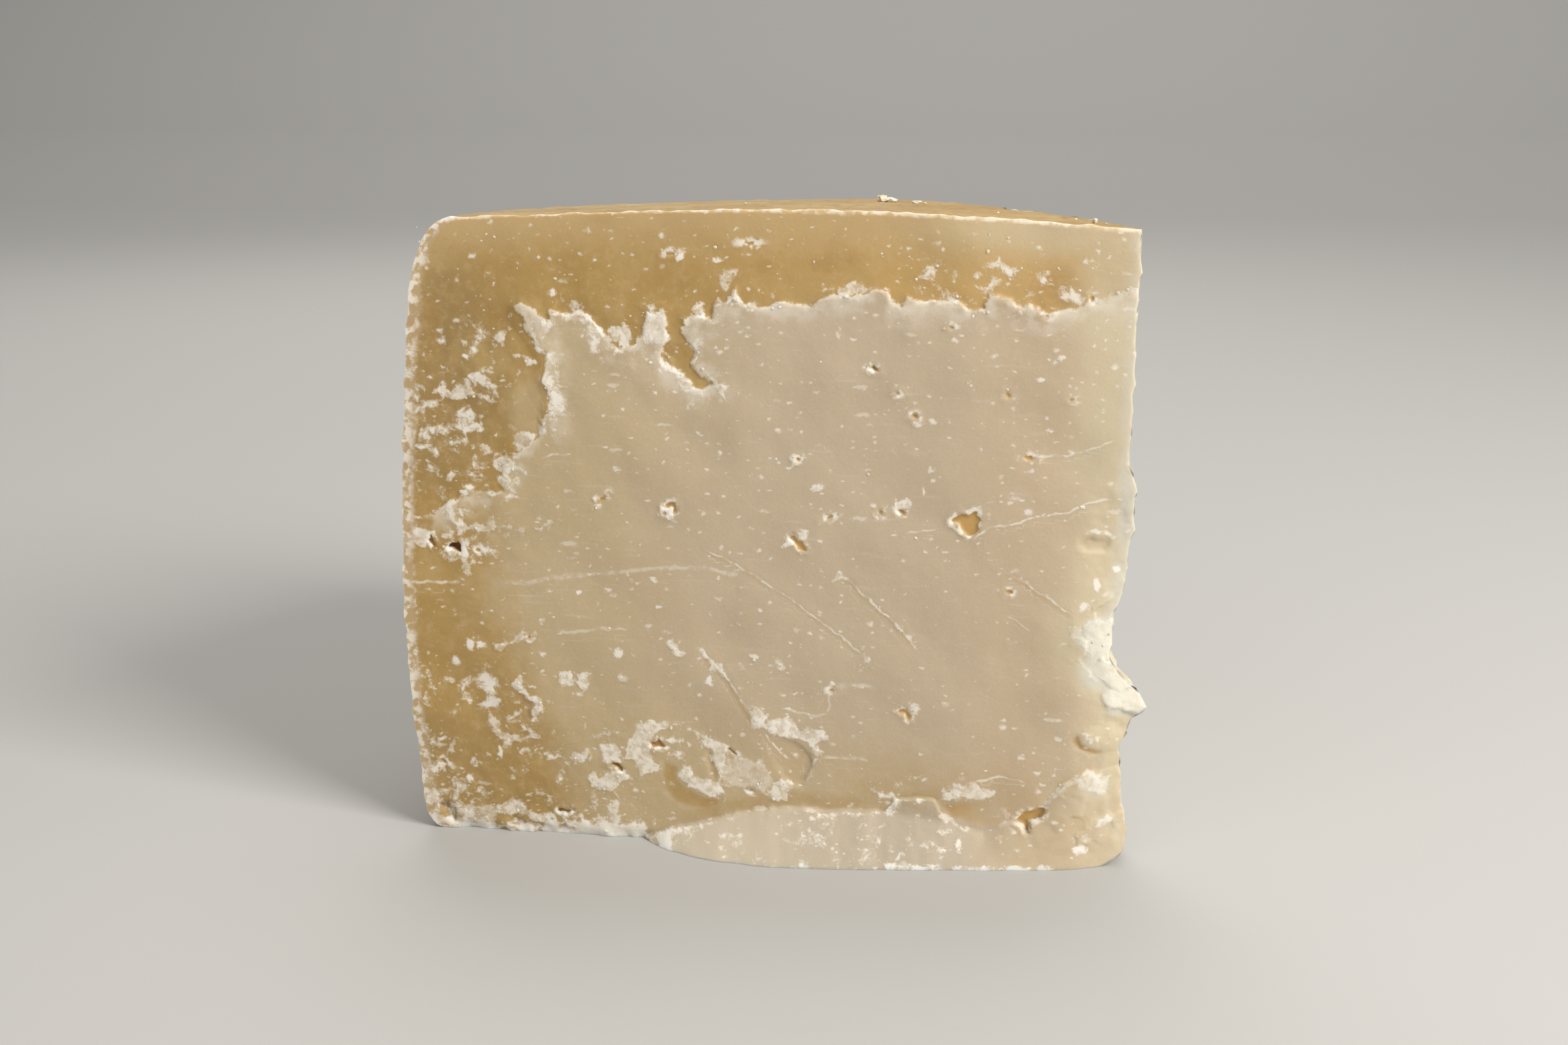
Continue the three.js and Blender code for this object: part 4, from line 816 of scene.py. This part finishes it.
def refineFront(bm):  # smaller cells where the front has torn edges, eyes and scars
    front = [f for f in bm.faces if onSide(f, 1, 0.0)]
    places = bend(np.array([f.calc_center_median() for f in front]))
    fields = frontFields(places[:, 0], places[:, 2])
    lipGap = np.abs(places[:, 2] - along(face["lipTop"], places[:, 0]))
    fine = (np.abs(fields["plate"]) < 0.5) & (places[:, 0] > -106)
    fine |= (fields["eyeGap"] < 0.35) | (fields["broken"] > 0.5)
    fine |= (fields["scar"] > 0.5) & (np.abs(fields["scarSide"]) < 1.5)
    fine |= (fields["filmWhite"] > 0.6) & (np.abs(fields["film"]) < 0.35)
    fine |= (lipGap < 0.5) & (places[:, 0] > -76)
    chosen = [f for f, isFine in zip(front, fine) if isFine]
    edges = {e for f in chosen for e in f.edges if all(0 < v.co.x < 1 and 0 < v.co.z < 1 for v in e.verts)}
    bmesh.ops.subdivide_edges(bm, edges=list(edges), cuts=1, use_grid_fill=True)


def bend(cube):  # cube places to the plain wedge, without relief
    outShare, depthShare, upShare = 1 - cube[:, 0], cube[:, 1], cube[:, 2]
    growth = block["depthGrowth"]
    depthShare = (1 - growth) * depthShare + growth * depthShare ** 2
    share, radius, height = rimCurve()
    rimRadius, rimHeight = np.interp(upShare, share, radius), np.interp(upShare, share, height)
    roughZ = upShare * wheel["hub"]
    tipX = along(face["tipEdge"], roughZ)
    apex = rearApex(roughZ)
    tipDepth = (apex - tipX) * math.tan(wheel["angle"])
    sine, cosine = math.sin(wheel["angle"]), math.cos(wheel["angle"])
    run = apex * cosine + np.sqrt(rimRadius ** 2 - (apex * sine) ** 2)
    rearAngle = np.arctan2(run * sine, run * cosine - apex)
    turn = rearAngle * depthShare
    x = tipX + (-rimRadius * np.cos(turn) - tipX) * outShare
    y = tipDepth * depthShare + (rimRadius * np.sin(turn) - tipDepth * depthShare) * outShare
    rimBlend = outShare ** block["rimPower"]
    z = (1 - rimBlend) * upShare * crownHeight(np.hypot(x, y)) + rimBlend * rimHeight
    z = z - wheel["topLean"] * y * (z / wheel["crown"])
    return np.stack([x, y, z], axis=1)


rindRelief = {"weave": 0.16, "rough": 0.22, "topShare": 0.5}
brokenTip = {  # relief of the end face in millimetres
    "rough": 0.2, "grain": 0.22, "facet": 0.45, "setBack": 0.3, "twist": 0.5,
    "taper": 0.6,  # how much the lump's width shrinks behind the cut
}


def addObject(name, data):
    made = bpy.data.objects.new(name, data)
    bpy.context.scene.collection.objects.link(made)
    return made


def addMesh(bm, name):
    mesh = bpy.data.meshes.new(name)
    bm.to_mesh(mesh)
    bm.free()
    return addObject(name, mesh)


def buildChunk():
    piece = addMesh(blockMesh(), "pecorinoChunk")
    mesh = piece.data
    cube = np.empty(len(mesh.vertices) * 3)
    mesh.vertices.foreach_get("co", cube)
    cube = cube.reshape(-1, 3)
    places = bend(cube)
    x, y, z = places.T.copy()
    onFront, onRear = cube[:, 1] < tiny, cube[:, 1] > 1 - tiny
    onRim, onTip = cube[:, 0] < tiny, cube[:, 0] > 1 - tiny
    onTop = cube[:, 2] > 1 - tiny
    front = frontFields(x, z)
    rear = rearFields(np.hypot(rearApex(z) - x, y), z)
    # relief of the front cut, running out behind it
    fall = (1 - np.clip(y / block["reliefDepth"], 0, 1)) ** block["reliefFall"]
    places[:, 1] -= front["height"] * np.where(onFront, 1, fall)
    # relief of the second cut
    places[:, 0] += rear["height"] * math.sin(wheel["angle"]) * onRear
    places[:, 1] += rear["height"] * math.cos(wheel["angle"]) * onRear
    # the broken tip
    crag = brokenTip["rough"] * crumble(y, z, 3.6, 121) * (1 - 0.65 * blend(z, 62, 66))
    crag += brokenTip["grain"] * grain(y, z, 1.3, 125) + brokenTip["grain"] * grain(y, z, 0.8, 127)
    bent = brokenTip["twist"] * grain(y, z, 1.6, 123)
    planes = brokenTip["facet"] * facets(y + bent, z + bent, 3.8, 129) - brokenTip["setBack"]
    crag += planes * blend(y, 0.2, 1.6)
    places[:, 0] += crag * blend(z, 0, 2) * onTip
    lump = np.maximum(along(face["tipEdge"], z) + 3, 0) * blend(z, 21, 23) * blend(z, 36, 33)
    places[:, 0] -= brokenTip["taper"] * lump * blend(y, 0.3, 4) * onTip
    # the rind: a rough, faintly woven skin
    rough, weave = rindRelief["rough"], rindRelief["weave"]
    arc = np.arctan2(y, -x) * wheel["foot"][0]
    skin = rough * crumble(arc, z, 3.2, 131) + weave * grain(arc, z, 1.4, 137)
    radius = np.maximum(np.hypot(x, y), 1)
    places[:, 0] += skin * (x / radius) * onRim
    places[:, 1] += skin * (y / radius) * onRim * ~onFront
    topSkin = rindRelief["topShare"] * rough * crumble(x, y, 3.2, 141) + weave * grain(x, y, 1.4, 147)
    places[:, 2] += topSkin * onTop * blend(-x, 3, 10)
    mesh.vertices.foreach_set("co", toFrame(places).ravel())
    # what the finish needs to know at each point
    share, rimRadius, _ = rimCurve()
    shares = {
        "warm": np.where(onRear, rear["warm"], front["warm"]),
        "topGap": topHeight(radius, y) - z,
        "rimGap": np.interp(cube[:, 2], share, rimRadius) - radius,
    }
    elsewhere = {"eyeTone": 0.4, "lip": 0, "scar": 0, "scarSide": farGap, "film": noFilm, "filmWhite": 0}
    for name, value in elsewhere.items():
        shares[name] = np.where(onFront, front[name], value)
    inner = onTip & ~onFront
    onInner = {
        "plate": farGap, "eyeGap": farGap, "amber": 0,
        "chalk": 0.22 + 0.5 * crumble(y, z, 3.4, 133), "pale": 1.4 + 0.9 * crumble(y, z, 6, 135),
    }
    for name, value in onInner.items():
        shares[name] = np.where(onRear, rear[name], np.where(inner, value, front[name]))
    for name, values in shares.items():
        layer = mesh.attributes.new(name, "FLOAT", "POINT")
        layer.data.foreach_set("value", np.asarray(values, np.float32))
    mesh.update()
    return piece


# Node helpers for the finishes; the tree is the one that the node or socket belongs to
def feed(node, name, value):
    if isinstance(value, bpy.types.NodeSocket):
        node.id_data.links.new(value, node.inputs[name])
    else:
        node.inputs[name].default_value = value


def newMaterial(name, settings):
    material = bpy.data.materials.new(name)
    material.use_nodes = True
    shader = material.node_tree.nodes["Principled BSDF"]
    for setting, value in settings.items():
        feed(shader, setting, value)
    return material, material.node_tree, shader


def colour(red, green, blue):  # from the 0 to 255 values that a screen shows
    return tuple(((c / 255 + 0.055) / 1.055) ** 2.4 for c in (red, green, blue)) + (1,)


def attribute(tree, name):
    node = tree.nodes.new("ShaderNodeAttribute")
    node.attribute_name = name
    return node.outputs["Fac"]


def calc(operation, first, second=0.0):
    owner = first if isinstance(first, bpy.types.NodeSocket) else second
    node = owner.id_data.nodes.new("ShaderNodeMath")
    node.operation = operation
    feed(node, 0, first)
    feed(node, 1, second)
    return node.outputs[0]


def plus(first, second):
    return calc("ADD", first, second)


def minus(first, second):
    return calc("SUBTRACT", first, second)


def times(first, second):
    return calc("MULTIPLY", first, second)


def larger(first, second):
    return calc("MAXIMUM", first, second)


def even(noise):  # noise around zero
    return minus(noise, 0.5)


def uneven(tree, name, noise, amount):  # an attribute that the noise moves up and down
    return plus(attribute(tree, name), times(noise, amount))


def ramp(value, start, end, low=0.0, high=1.0):
    node = value.id_data.nodes.new("ShaderNodeMapRange")
    node.interpolation_type = "SMOOTHSTEP"
    settings = {"Value": value, "From Min": start, "From Max": end, "To Min": low, "To Max": high}
    for name, setting in settings.items():
        feed(node, name, setting)
    return node.outputs["Result"]


def mixTone(amount, first, second):
    node = amount.id_data.nodes.new("ShaderNodeMix")
    node.data_type = "RGBA"
    for index, value in ((0, amount), (6, first), (7, second)):
        feed(node, index, value)
    return node.outputs[2]


def layered(tone, layers):  # lays each tone over what is there
    for amount, over in layers:
        tone = mixTone(amount, tone, over)
    return tone


def millimetres(tree, stretch=(1, 1, 1)):
    place = tree.nodes.new("ShaderNodeTexCoord")
    scale = tree.nodes.new("ShaderNodeMapping")
    feed(scale, "Scale", [s / mm for s in stretch])
    feed(scale, "Vector", place.outputs["Object"])
    return scale.outputs["Vector"]


def stretched(vector, stretch):
    node = vector.id_data.nodes.new("ShaderNodeVectorMath")
    node.operation = "MULTIPLY"
    feed(node, 0, vector)
    feed(node, 1, stretch)
    return node.outputs[0]


def shifted(vector, size):  # bends the places a little, so that repeated shapes turn irregular
    noise = vector.id_data.nodes.new("ShaderNodeTexNoise")
    feed(noise, "Vector", vector)
    feed(noise, "Scale", 1 / size)
    node = vector.id_data.nodes.new("ShaderNodeVectorMath")
    node.operation = "MULTIPLY_ADD"
    for index, value in enumerate((noise.outputs["Color"], (size, size, size), vector)):
        feed(node, index, value)
    return node.outputs[0]


def mottle(vector, size, detail=3.0, roughness=0.55, warp=0.0):  # noise, with the blotch size in millimetres
    node = vector.id_data.nodes.new("ShaderNodeTexNoise")
    feed(node, "Vector", vector)
    settings = {"Scale": 1 / size, "Detail": detail, "Roughness": roughness, "Distortion": warp}
    for name, setting in settings.items():
        feed(node, name, setting)
    return node.outputs["Fac"]


def dots(vector, spacing, size, core=0.55):  # cells with a low number show a dot, the lower the larger
    node = vector.id_data.nodes.new("ShaderNodeTexVoronoi")
    feed(node, "Vector", vector)
    feed(node, "Scale", 1 / spacing)
    number = vector.id_data.nodes.new("ShaderNodeSeparateColor")
    feed(number, "Color", node.outputs["Color"])
    reach = plus(node.outputs["Distance"], times(number.outputs["Red"], 0.5))
    return ramp(reach, size / spacing, core * size / spacing)


def addBump(shader, height, settings):
    bump = shader.id_data.nodes.new("ShaderNodeBump")
    for name, value in settings.items():
        feed(bump, name, value)
    feed(bump, "Height", height)
    feed(shader, "Normal", bump.outputs["Normal"])


pasteFinish = {
    "beige": colour(188, 170, 143), "straw": colour(184, 163, 125), "rosy": colour(191, 171, 143),
    "cream": colour(201, 186, 156), "pearl": colour(202, 196, 179), "milk": colour(217, 211, 191),
    # lip is partly painted light from the lip's upward tilt; lipShade is a painted shade of it
    "lip": colour(196, 182, 158), "lipShade": colour(177, 163, 141), "lipGold": colour(190, 171, 140),
    "amber": colour(169, 138, 79), "honey": colour(182, 156, 102), "umber": colour(157, 129, 78),
    "lightAmber": colour(192, 159, 104), "paleAmber": colour(188, 161, 114),
    # deepEye is painted shade deep in the eyes
    "deepAmber": colour(161, 127, 69), "eye": colour(208, 172, 106), "deepEye": colour(120, 72, 22),
    "white": colour(230, 223, 210), "skin": colour(184, 160, 124),
    "roughness": 0.48, "dryRoughness": 0.8,
    "shader": {
        "Specular IOR Level": 0.35, "Subsurface Weight": 0.8, "Subsurface Radius": (1.0, 0.85, 0.62),
        "Subsurface Scale": 0.0015,
    },
    "bump": {"Strength": 0.4, "Distance": 0.0003},
}


def pasteMaterial():
    material, tree, shader = newMaterial("cutPaste", pasteFinish["shader"])
    tones = pasteFinish
    white = tones["white"]
    place = millimetres(tree)
    fine = mottle(place, 0.5, 4, 0.65)
    middle = even(mottle(place, 2.4, 5, 0.62, 0.4))
    ragged = plus(times(even(fine), 1.2), times(middle, 1.6))
    patchy = mottle(place, 1.6, 3)
    warm = attribute(tree, "warm")
    # paste: warmer to the left, rosy towards the tip
    drift = plus(warm, times(even(mottle(place, 18, 3)), 0.5))
    streak = mottle(millimetres(tree, (0.14, 0.14, 1)), 0.9, 4, 0.6)
    paste = layered(tones["beige"], [
        (ramp(drift, 0, 1), tones["straw"]),
        (ramp(drift, 0, -1), tones["rosy"]),
        (ramp(streak, 0.58, 0.8, 0, 0.16), white),
        (ramp(mottle(place, 0.7, 5, 0.7), 0.5, 0.8, 0, 0.3), tones["pearl"]),
    ])
    # the amber zone, paler next to the rind and towards the tip
    blotch = mottle(place, 8, 4, 0.6, 0.3)
    veil = mottle(place, 1.8, 6, 0.7, 0.3)
    underTop = uneven(tree, "topGap", middle, 4)
    amber = layered(tones["lightAmber"], [
        (ramp(warm, -0.6, 0.7), tones["amber"]),
        (ramp(warm, 0.8, 1.2), tones["umber"]),
        (ramp(blotch, 0.5, 0.7, 0, 0.5), tones["honey"]),
        (ramp(blotch, 0.48, 0.3, 0, 0.55), tones["deepAmber"]),
        (ramp(veil, 0.46, 0.72, 0, 0.55), tones["paleAmber"]),
        (ramp(underTop, 9, 1, 0, 0.9), tones["paleAmber"]),
    ])
    plate = plus(attribute(tree, "plate"), ragged)
    zone = ramp(plate, 0.15, -0.15)
    # the amber share: the left amber zone, plus painted shade in hollows, under scars and above the lip
    soft = ramp(uneven(tree, "amber", middle, 0.5), 0.05, 1.0)
    # the broken tip is paler and carries a painted glow; the lip takes a lighter tone on its left, partly
    # painted light from its upward tilt, and lipShade, a painted shade, on its right
    pale = attribute(tree, "pale")
    creamy = times(ramp(pale, 0, 1), minus(1.0, times(zone, 0.3)))
    lip = layered(tones["lipShade"], [
        (ramp(warm, 0.45, 0.75), tones["lip"]),
        (ramp(drift, 0.2, -0.9), tones["lipGold"]),
    ])
    # crystals and short smears
    jitter = shifted(shifted(place, 1.0), 0.45)
    big = times(dots(stretched(jitter, (0.8, 1, 1.1)), 2.3, 0.68, 0.2), 0.8)
    small = times(dots(stretched(jitter, (0.7, 1, 1.2)), 1.1, 0.4, 0.25), 0.7)
    smear = times(dots(stretched(jitter, (0.4, 1, 1.4)), 3.0, 0.7), 0.4)
    crystals = larger(larger(big, small), smear)
    # soft white clouds and flecks
    cloud = even(mottle(place, 2.4, 6, 0.66, 0.3))
    crumbly = ramp(uneven(tree, "chalk", cloud, 2.0), 0.45, 0.78, 0, 0.88)
    fleck = even(mottle(stretched(place, (0.7, 1, 1.2)), 0.8, 3, 0.65))
    crumbly = larger(crumbly, ramp(uneven(tree, "chalk", fleck, 2.4), 0.72, 1.0, 0, 0.62))
    # the plate's torn edge
    haze = times(ramp(plate, -0.2, 0.05), ramp(plate, 5, 0, 0, 0.5))
    haze = times(haze, ramp(mottle(place, 4, 4, 0.6), 0.4, 0.62))
    line = ramp(calc("ABSOLUTE", minus(plate, 0.3)), 0.5, 0.15)
    line = times(line, ramp(patchy, 0.42, 0.58, 0.12, 0.8))
    line = times(line, ramp(mottle(place, 5, 3), 0.42, 0.58, 0.3, 1.0))
    # torn white patches and scars
    film = ramp(plus(attribute(tree, "film"), plus(ragged, cloud)), -0.15, 0.25)
    film = times(film, attribute(tree, "filmWhite"))
    film = times(film, ramp(mottle(place, 1.1, 4, 0.6), 0.36, 0.6, 0.4, 0.95))
    scarGap = calc("ABSOLUTE", uneven(tree, "scarSide", ragged, 0.8))
    scarLine = times(ramp(scarGap, 1.2, 0.3), attribute(tree, "scar"))
    scarLine = times(scarLine, ramp(patchy, 0.4, 0.56, 0.25, 1.0))
    # eyes: torn white rims, golden inside, painted brown shade in the depth
    eyeGap = uneven(tree, "eyeGap", ragged, 0.45)
    torn = times(ramp(eyeGap, 0.9, 0.15), ramp(eyeGap, -0.15, 0.0))
    torn = times(torn, ramp(mottle(place, 1.5, 2), 0.47, 0.6, 0.0, 0.9))
    depths = mixTone(attribute(tree, "eyeTone"), tones["eye"], tones["deepEye"])
    # the skin at the rim and the pale line at the top edge
    rimGap = uneven(tree, "rimGap", middle, 3)
    flecks = times(ramp(rimGap, 2.2, 0.6), ramp(patchy, 0.44, 0.58, 0, 0.75))
    edge = ramp(uneven(tree, "topGap", middle, 1.2), 0.75, 0.3)
    edge = times(edge, ramp(patchy, 0.4, 0.56, 0.15, 0.65))
    tone = layered(paste, [
        (larger(zone, soft), amber),
        (creamy, tones["cream"]),
        (ramp(pale, 1, 2), tones["pearl"]),
        (ramp(pale, 2, 3), tones["milk"]),
        (attribute(tree, "lip"), lip),
        (crystals, white),
        (crumbly, white),
        (larger(haze, line), white),
        (film, white),
        (scarLine, white),
        (torn, white),
        (ramp(eyeGap, 0.02, -0.15), depths),
        (ramp(rimGap, 2.4, 1.2, 0, 0.7), tones["skin"]),
        (flecks, white),
        (edge, white),
    ])
    feed(shader, "Base Color", tone)
    # gloss and fine relief: waxy grain, duller and rougher on crumbs
    dry = larger(crumbly, film)
    feed(shader, "Roughness", ramp(dry, 0, 0.8, pasteFinish["roughness"], pasteFinish["dryRoughness"]))
    lift = plus(times(fine, 0.4), times(dry, 0.7))
    addBump(shader, plus(lift, times(crystals, 0.12)), pasteFinish["bump"])
    return material


rindFinish = {
    "tan": colour(153, 123, 72), "ochre": colour(129, 97, 52), "straw": colour(168, 140, 89),
    "dust": colour(200, 185, 154), "speck": colour(90, 67, 39),
    "shader": {"Roughness": 0.62, "Specular IOR Level": 0.25},
    "bump": {"Strength": 0.5, "Distance": 0.0005},
}


def rindMaterial():
    material, tree, shader = newMaterial("wheelRind", rindFinish["shader"])
    tones = rindFinish
    place = millimetres(tree)
    broad = mottle(place, 14, 4, 0.6, 0.3)
    middle = mottle(place, 3.2, 5, 0.62, 0.5)
    fine = mottle(place, 0.9, 4, 0.6)
    pits = ramp(mottle(place, 1.3, 2), 0.34, 0.24)
    bloom = times(ramp(mottle(place, 22, 5, 0.65), 0.52, 0.72), ramp(fine, 0.4, 0.6))
    specks = dots(shifted(place, 0.6), 5.0, 0.75)
    tone = layered(tones["tan"], [
        (ramp(broad, 0.35, 0.65), tones["straw"]),
        (ramp(middle, 0.5, 0.72, 0, 0.6), tones["ochre"]),
        (ramp(fine, 0.56, 0.76, 0, 0.4), tones["straw"]),
        (times(pits, 0.45), tones["ochre"]),
        (times(bloom, 0.5), tones["dust"]),
        (times(specks, 0.7), tones["speck"]),
    ])
    feed(shader, "Base Color", tone)
    lift = plus(times(fine, 0.5), times(middle, 0.8))
    addBump(shader, minus(lift, times(pits, 0.4)), rindFinish["bump"])
    return material


# Loose bits: flakes that cling to the front cut, and crumbs on the top
clinging = {
    "tries": 16000, "seed": 11, "smallest": 0.1, "largest": 0.38,
    "left": -111, "width": 108, "foot": 1, "height": 96,  # the part of the face that they lie on
    "flatness": 0.45, "stretch": (0.8, 1.4), "sizePower": 2.5,
    "chances": {
        "anywhere": 0.002, "plateEdge": 0.16, "film": 0.12, "chalk": 0.05, "underTop": 0.03,
        "eyeRim": 0.1, "scar": 0.08,
    },
}
jagged = (0.72, 1.15)  # how far the corners of a bit go in and out
fullTurn = 6.28
crumbs = [  # x, y, half sizes
    (-41.8, 30.6, 0.9, 0.9, 0.75), (-40.4, 30.9, 1.1, 0.8, 0.5), (-36.2, 29.4, 0.9, 0.6, 0.3),
    (-34.8, 27.5, 0.4, 0.3, 0.2), (-8.9, 5.4, 0.3, 0.3, 0.45), (-9.2, 5.6, 0.22, 0.2, 0.3),
    (-11.6, 8.2, 0.25, 0.2, 0.16), (-7.4, 4.4, 0.2, 0.2, 0.15), (-62, 18, 0.3, 0.25, 0.15),
    (-23, 12, 0.25, 0.3, 0.14),
]


def addBit(bm, dice, place, half, rounds):  # a jagged bit
    made = bmesh.ops.create_icosphere(bm, subdivisions=rounds, radius=1.0)["verts"]
    turn = Euler([dice.uniform(0, fullTurn) for _ in range(3)]).to_matrix()
    for v in made:
        shape = turn @ v.co * dice.uniform(*jagged)
        v.co = [p + s * h for p, s, h in zip(place, shape, half)]


def joinBits(bm, name):  # from the cut frame to the part's frame
    for v in bm.verts:
        v.co = toFrame(v.co)
    return addMesh(bm, name)


def buildFlakes():
    dice = random.Random(clinging["seed"])
    tries = np.array([[dice.random() for _ in range(4)] for _ in range(clinging["tries"])])
    x = clinging["left"] + clinging["width"] * tries[:, 0]
    z = clinging["foot"] + clinging["height"] * tries[:, 1]
    fields = frontFields(x, z)
    plate = fields["plate"]
    shares = {
        "anywhere": 1, "plateEdge": np.abs(plate - 0.3) < 0.6,
        "film": (fields["film"] > 0) * fields["filmWhite"], "chalk": blend(fields["chalk"], 0.5, 0.8),
        "underTop": (plate < -0.3) & (plate > -7) & (z > 82),
        "eyeRim": fields["eyeGap"] < 0.6, "scar": fields["scar"] * (np.abs(fields["scarSide"]) < 1.2),
    }
    chance = sum(amount * shares[name] for name, amount in clinging["chances"].items())
    kept = (tries[:, 2] < chance) & (fields["eyeGap"] > 0.1)
    smallest, largest = clinging["smallest"], clinging["largest"]
    bm = bmesh.new()
    for u, v, lift, size in zip(x[kept], z[kept], fields["height"][kept], tries[kept, 3]):
        half = smallest + (largest - smallest) * size ** clinging["sizePower"]
        halves = (half * dice.uniform(*clinging["stretch"]), clinging["flatness"] * half, half)
        addBit(bm, dice, (u, -lift, v), halves, 1)
    return joinBits(bm, "clingingFlakes")


def buildCrumbs():
    dice = random.Random(clinging["seed"])
    bm = bmesh.new()
    for x, y, halfX, halfY, halfZ in crumbs:
        top = topHeight(np.hypot(x, y), y)
        addBit(bm, dice, (x, y, top + 0.7 * halfZ), (halfX, halfY, halfZ), 2 if halfX > 0.5 else 1)
    return joinBits(bm, "topCrumbs")


crumbFinish = {
    "bright": colour(222, 212, 195), "dull": colour(203, 186, 155),
    "shader": {
        "Roughness": 0.85, "Specular IOR Level": 0.2, "Subsurface Weight": 0.5,
        "Subsurface Radius": (1.0, 0.8, 0.6), "Subsurface Scale": 0.0004,
    },
}


def crumbMaterial():
    material, tree, shader = newMaterial("looseCrumb", crumbFinish["shader"])
    patches = ramp(mottle(millimetres(tree), 1.5, 3), 0.4, 0.6)
    feed(shader, "Base Color", mixTone(patches, crumbFinish["dull"], crumbFinish["bright"]))
    return material


# Camera at the photograph's viewing angle
view = {
    "place": (-18.6, -252.1, 119.9),  # in the cut frame
    "heading": math.radians(7.87), "pitch": math.radians(14.66), "lens": 40, "sensor": 36, "nearest": 0.01,
}


def pointAlong(thing, direction):
    thing.rotation_euler = direction.to_track_quat("-Z", "Y").to_euler()


def addCamera():
    data = bpy.data.cameras.new("photoView")
    data.lens, data.sensor_width, data.clip_start = view["lens"], view["sensor"], view["nearest"]
    camera = addObject("photoView", data)
    camera.location = toFrame(view["place"])
    heading, pitch = view["heading"], view["pitch"]
    pointAlong(camera, Vector((-math.sin(heading), math.cos(heading), -math.tan(pitch))))
    bpy.context.scene.camera = camera


stage = {
    "floor": {"Base Color": colour(174, 171, 165), "Roughness": 0.8},
    "floorWidth": 8.0,
    "sweep": [  # floor, then wall, as (y, z)
        (-4.0, 0.0), (1.2, 0.0), (1.6, 0.05), (1.95, 0.25), (2.2, 0.6), (2.3, 1.0), (2.3, 3.0),
    ],
    "lights": [  # name, place, aim, size, watts
        ("keyLight", (0.6, -0.36, 0.54), (0, 0, 0.05), 0.36, 8.9),
        ("fillLight", (-0.3, -0.65, 0.4), (0, 0, 0.05), 0.8, 2.0),
        ("backLight", (-0.25, 0.6, 0.6), (0, 0, 0.05), 0.6, 1.6),
        ("sweepLight", (0.0, 1.0, 2.2), (0.0, 2.0, 0.2), 1.6, 31.0),
    ],
    "sky": {"Color": (0.95, 0.96, 1.0, 1), "Strength": 0.25},
}


def addStage():
    bm = bmesh.new()
    half = stage["floorWidth"] / 2
    rows = [[bm.verts.new((side * half, y, z)) for side in (-1, 1)] for y, z in stage["sweep"]]
    for near, far in zip(rows, rows[1:]):
        bm.faces.new((near[0], near[1], far[1], far[0])).smooth = True
    floor = addMesh(bm, "floor")
    material, _, _ = newMaterial("paleFloor", stage["floor"])
    floor.data.materials.append(material)
    for name, place, aim, size, watts in stage["lights"]:
        data = bpy.data.lights.new(name, "AREA")
        data.size, data.energy = size, watts
        light = addObject(name, data)
        light.location = place
        pointAlong(light, Vector(aim) - light.location)
    world = bpy.data.worlds.new("softSky")
    world.use_nodes = True
    for name, value in stage["sky"].items():
        feed(world.node_tree.nodes["Background"], name, value)
    bpy.context.scene.world = world
    bpy.context.scene.view_settings.view_transform = "Standard"


addCamera()
addStage()
print("stage ready")
chunk = buildChunk()
chunk.data.materials.append(pasteMaterial())
chunk.data.materials.append(rindMaterial())
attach(chunk, "root")
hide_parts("chunk")
triangles = sum(len(p.vertices) - 2 for p in chunk.data.polygons)
print("chunk ready,", triangles, "triangles")
loose = crumbMaterial()
for bits in (buildFlakes(), buildCrumbs()):
    bits.data.materials.append(loose)
    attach(bits, "root")
    print(bits.name, "ready,", len(bits.data.polygons), "faces")
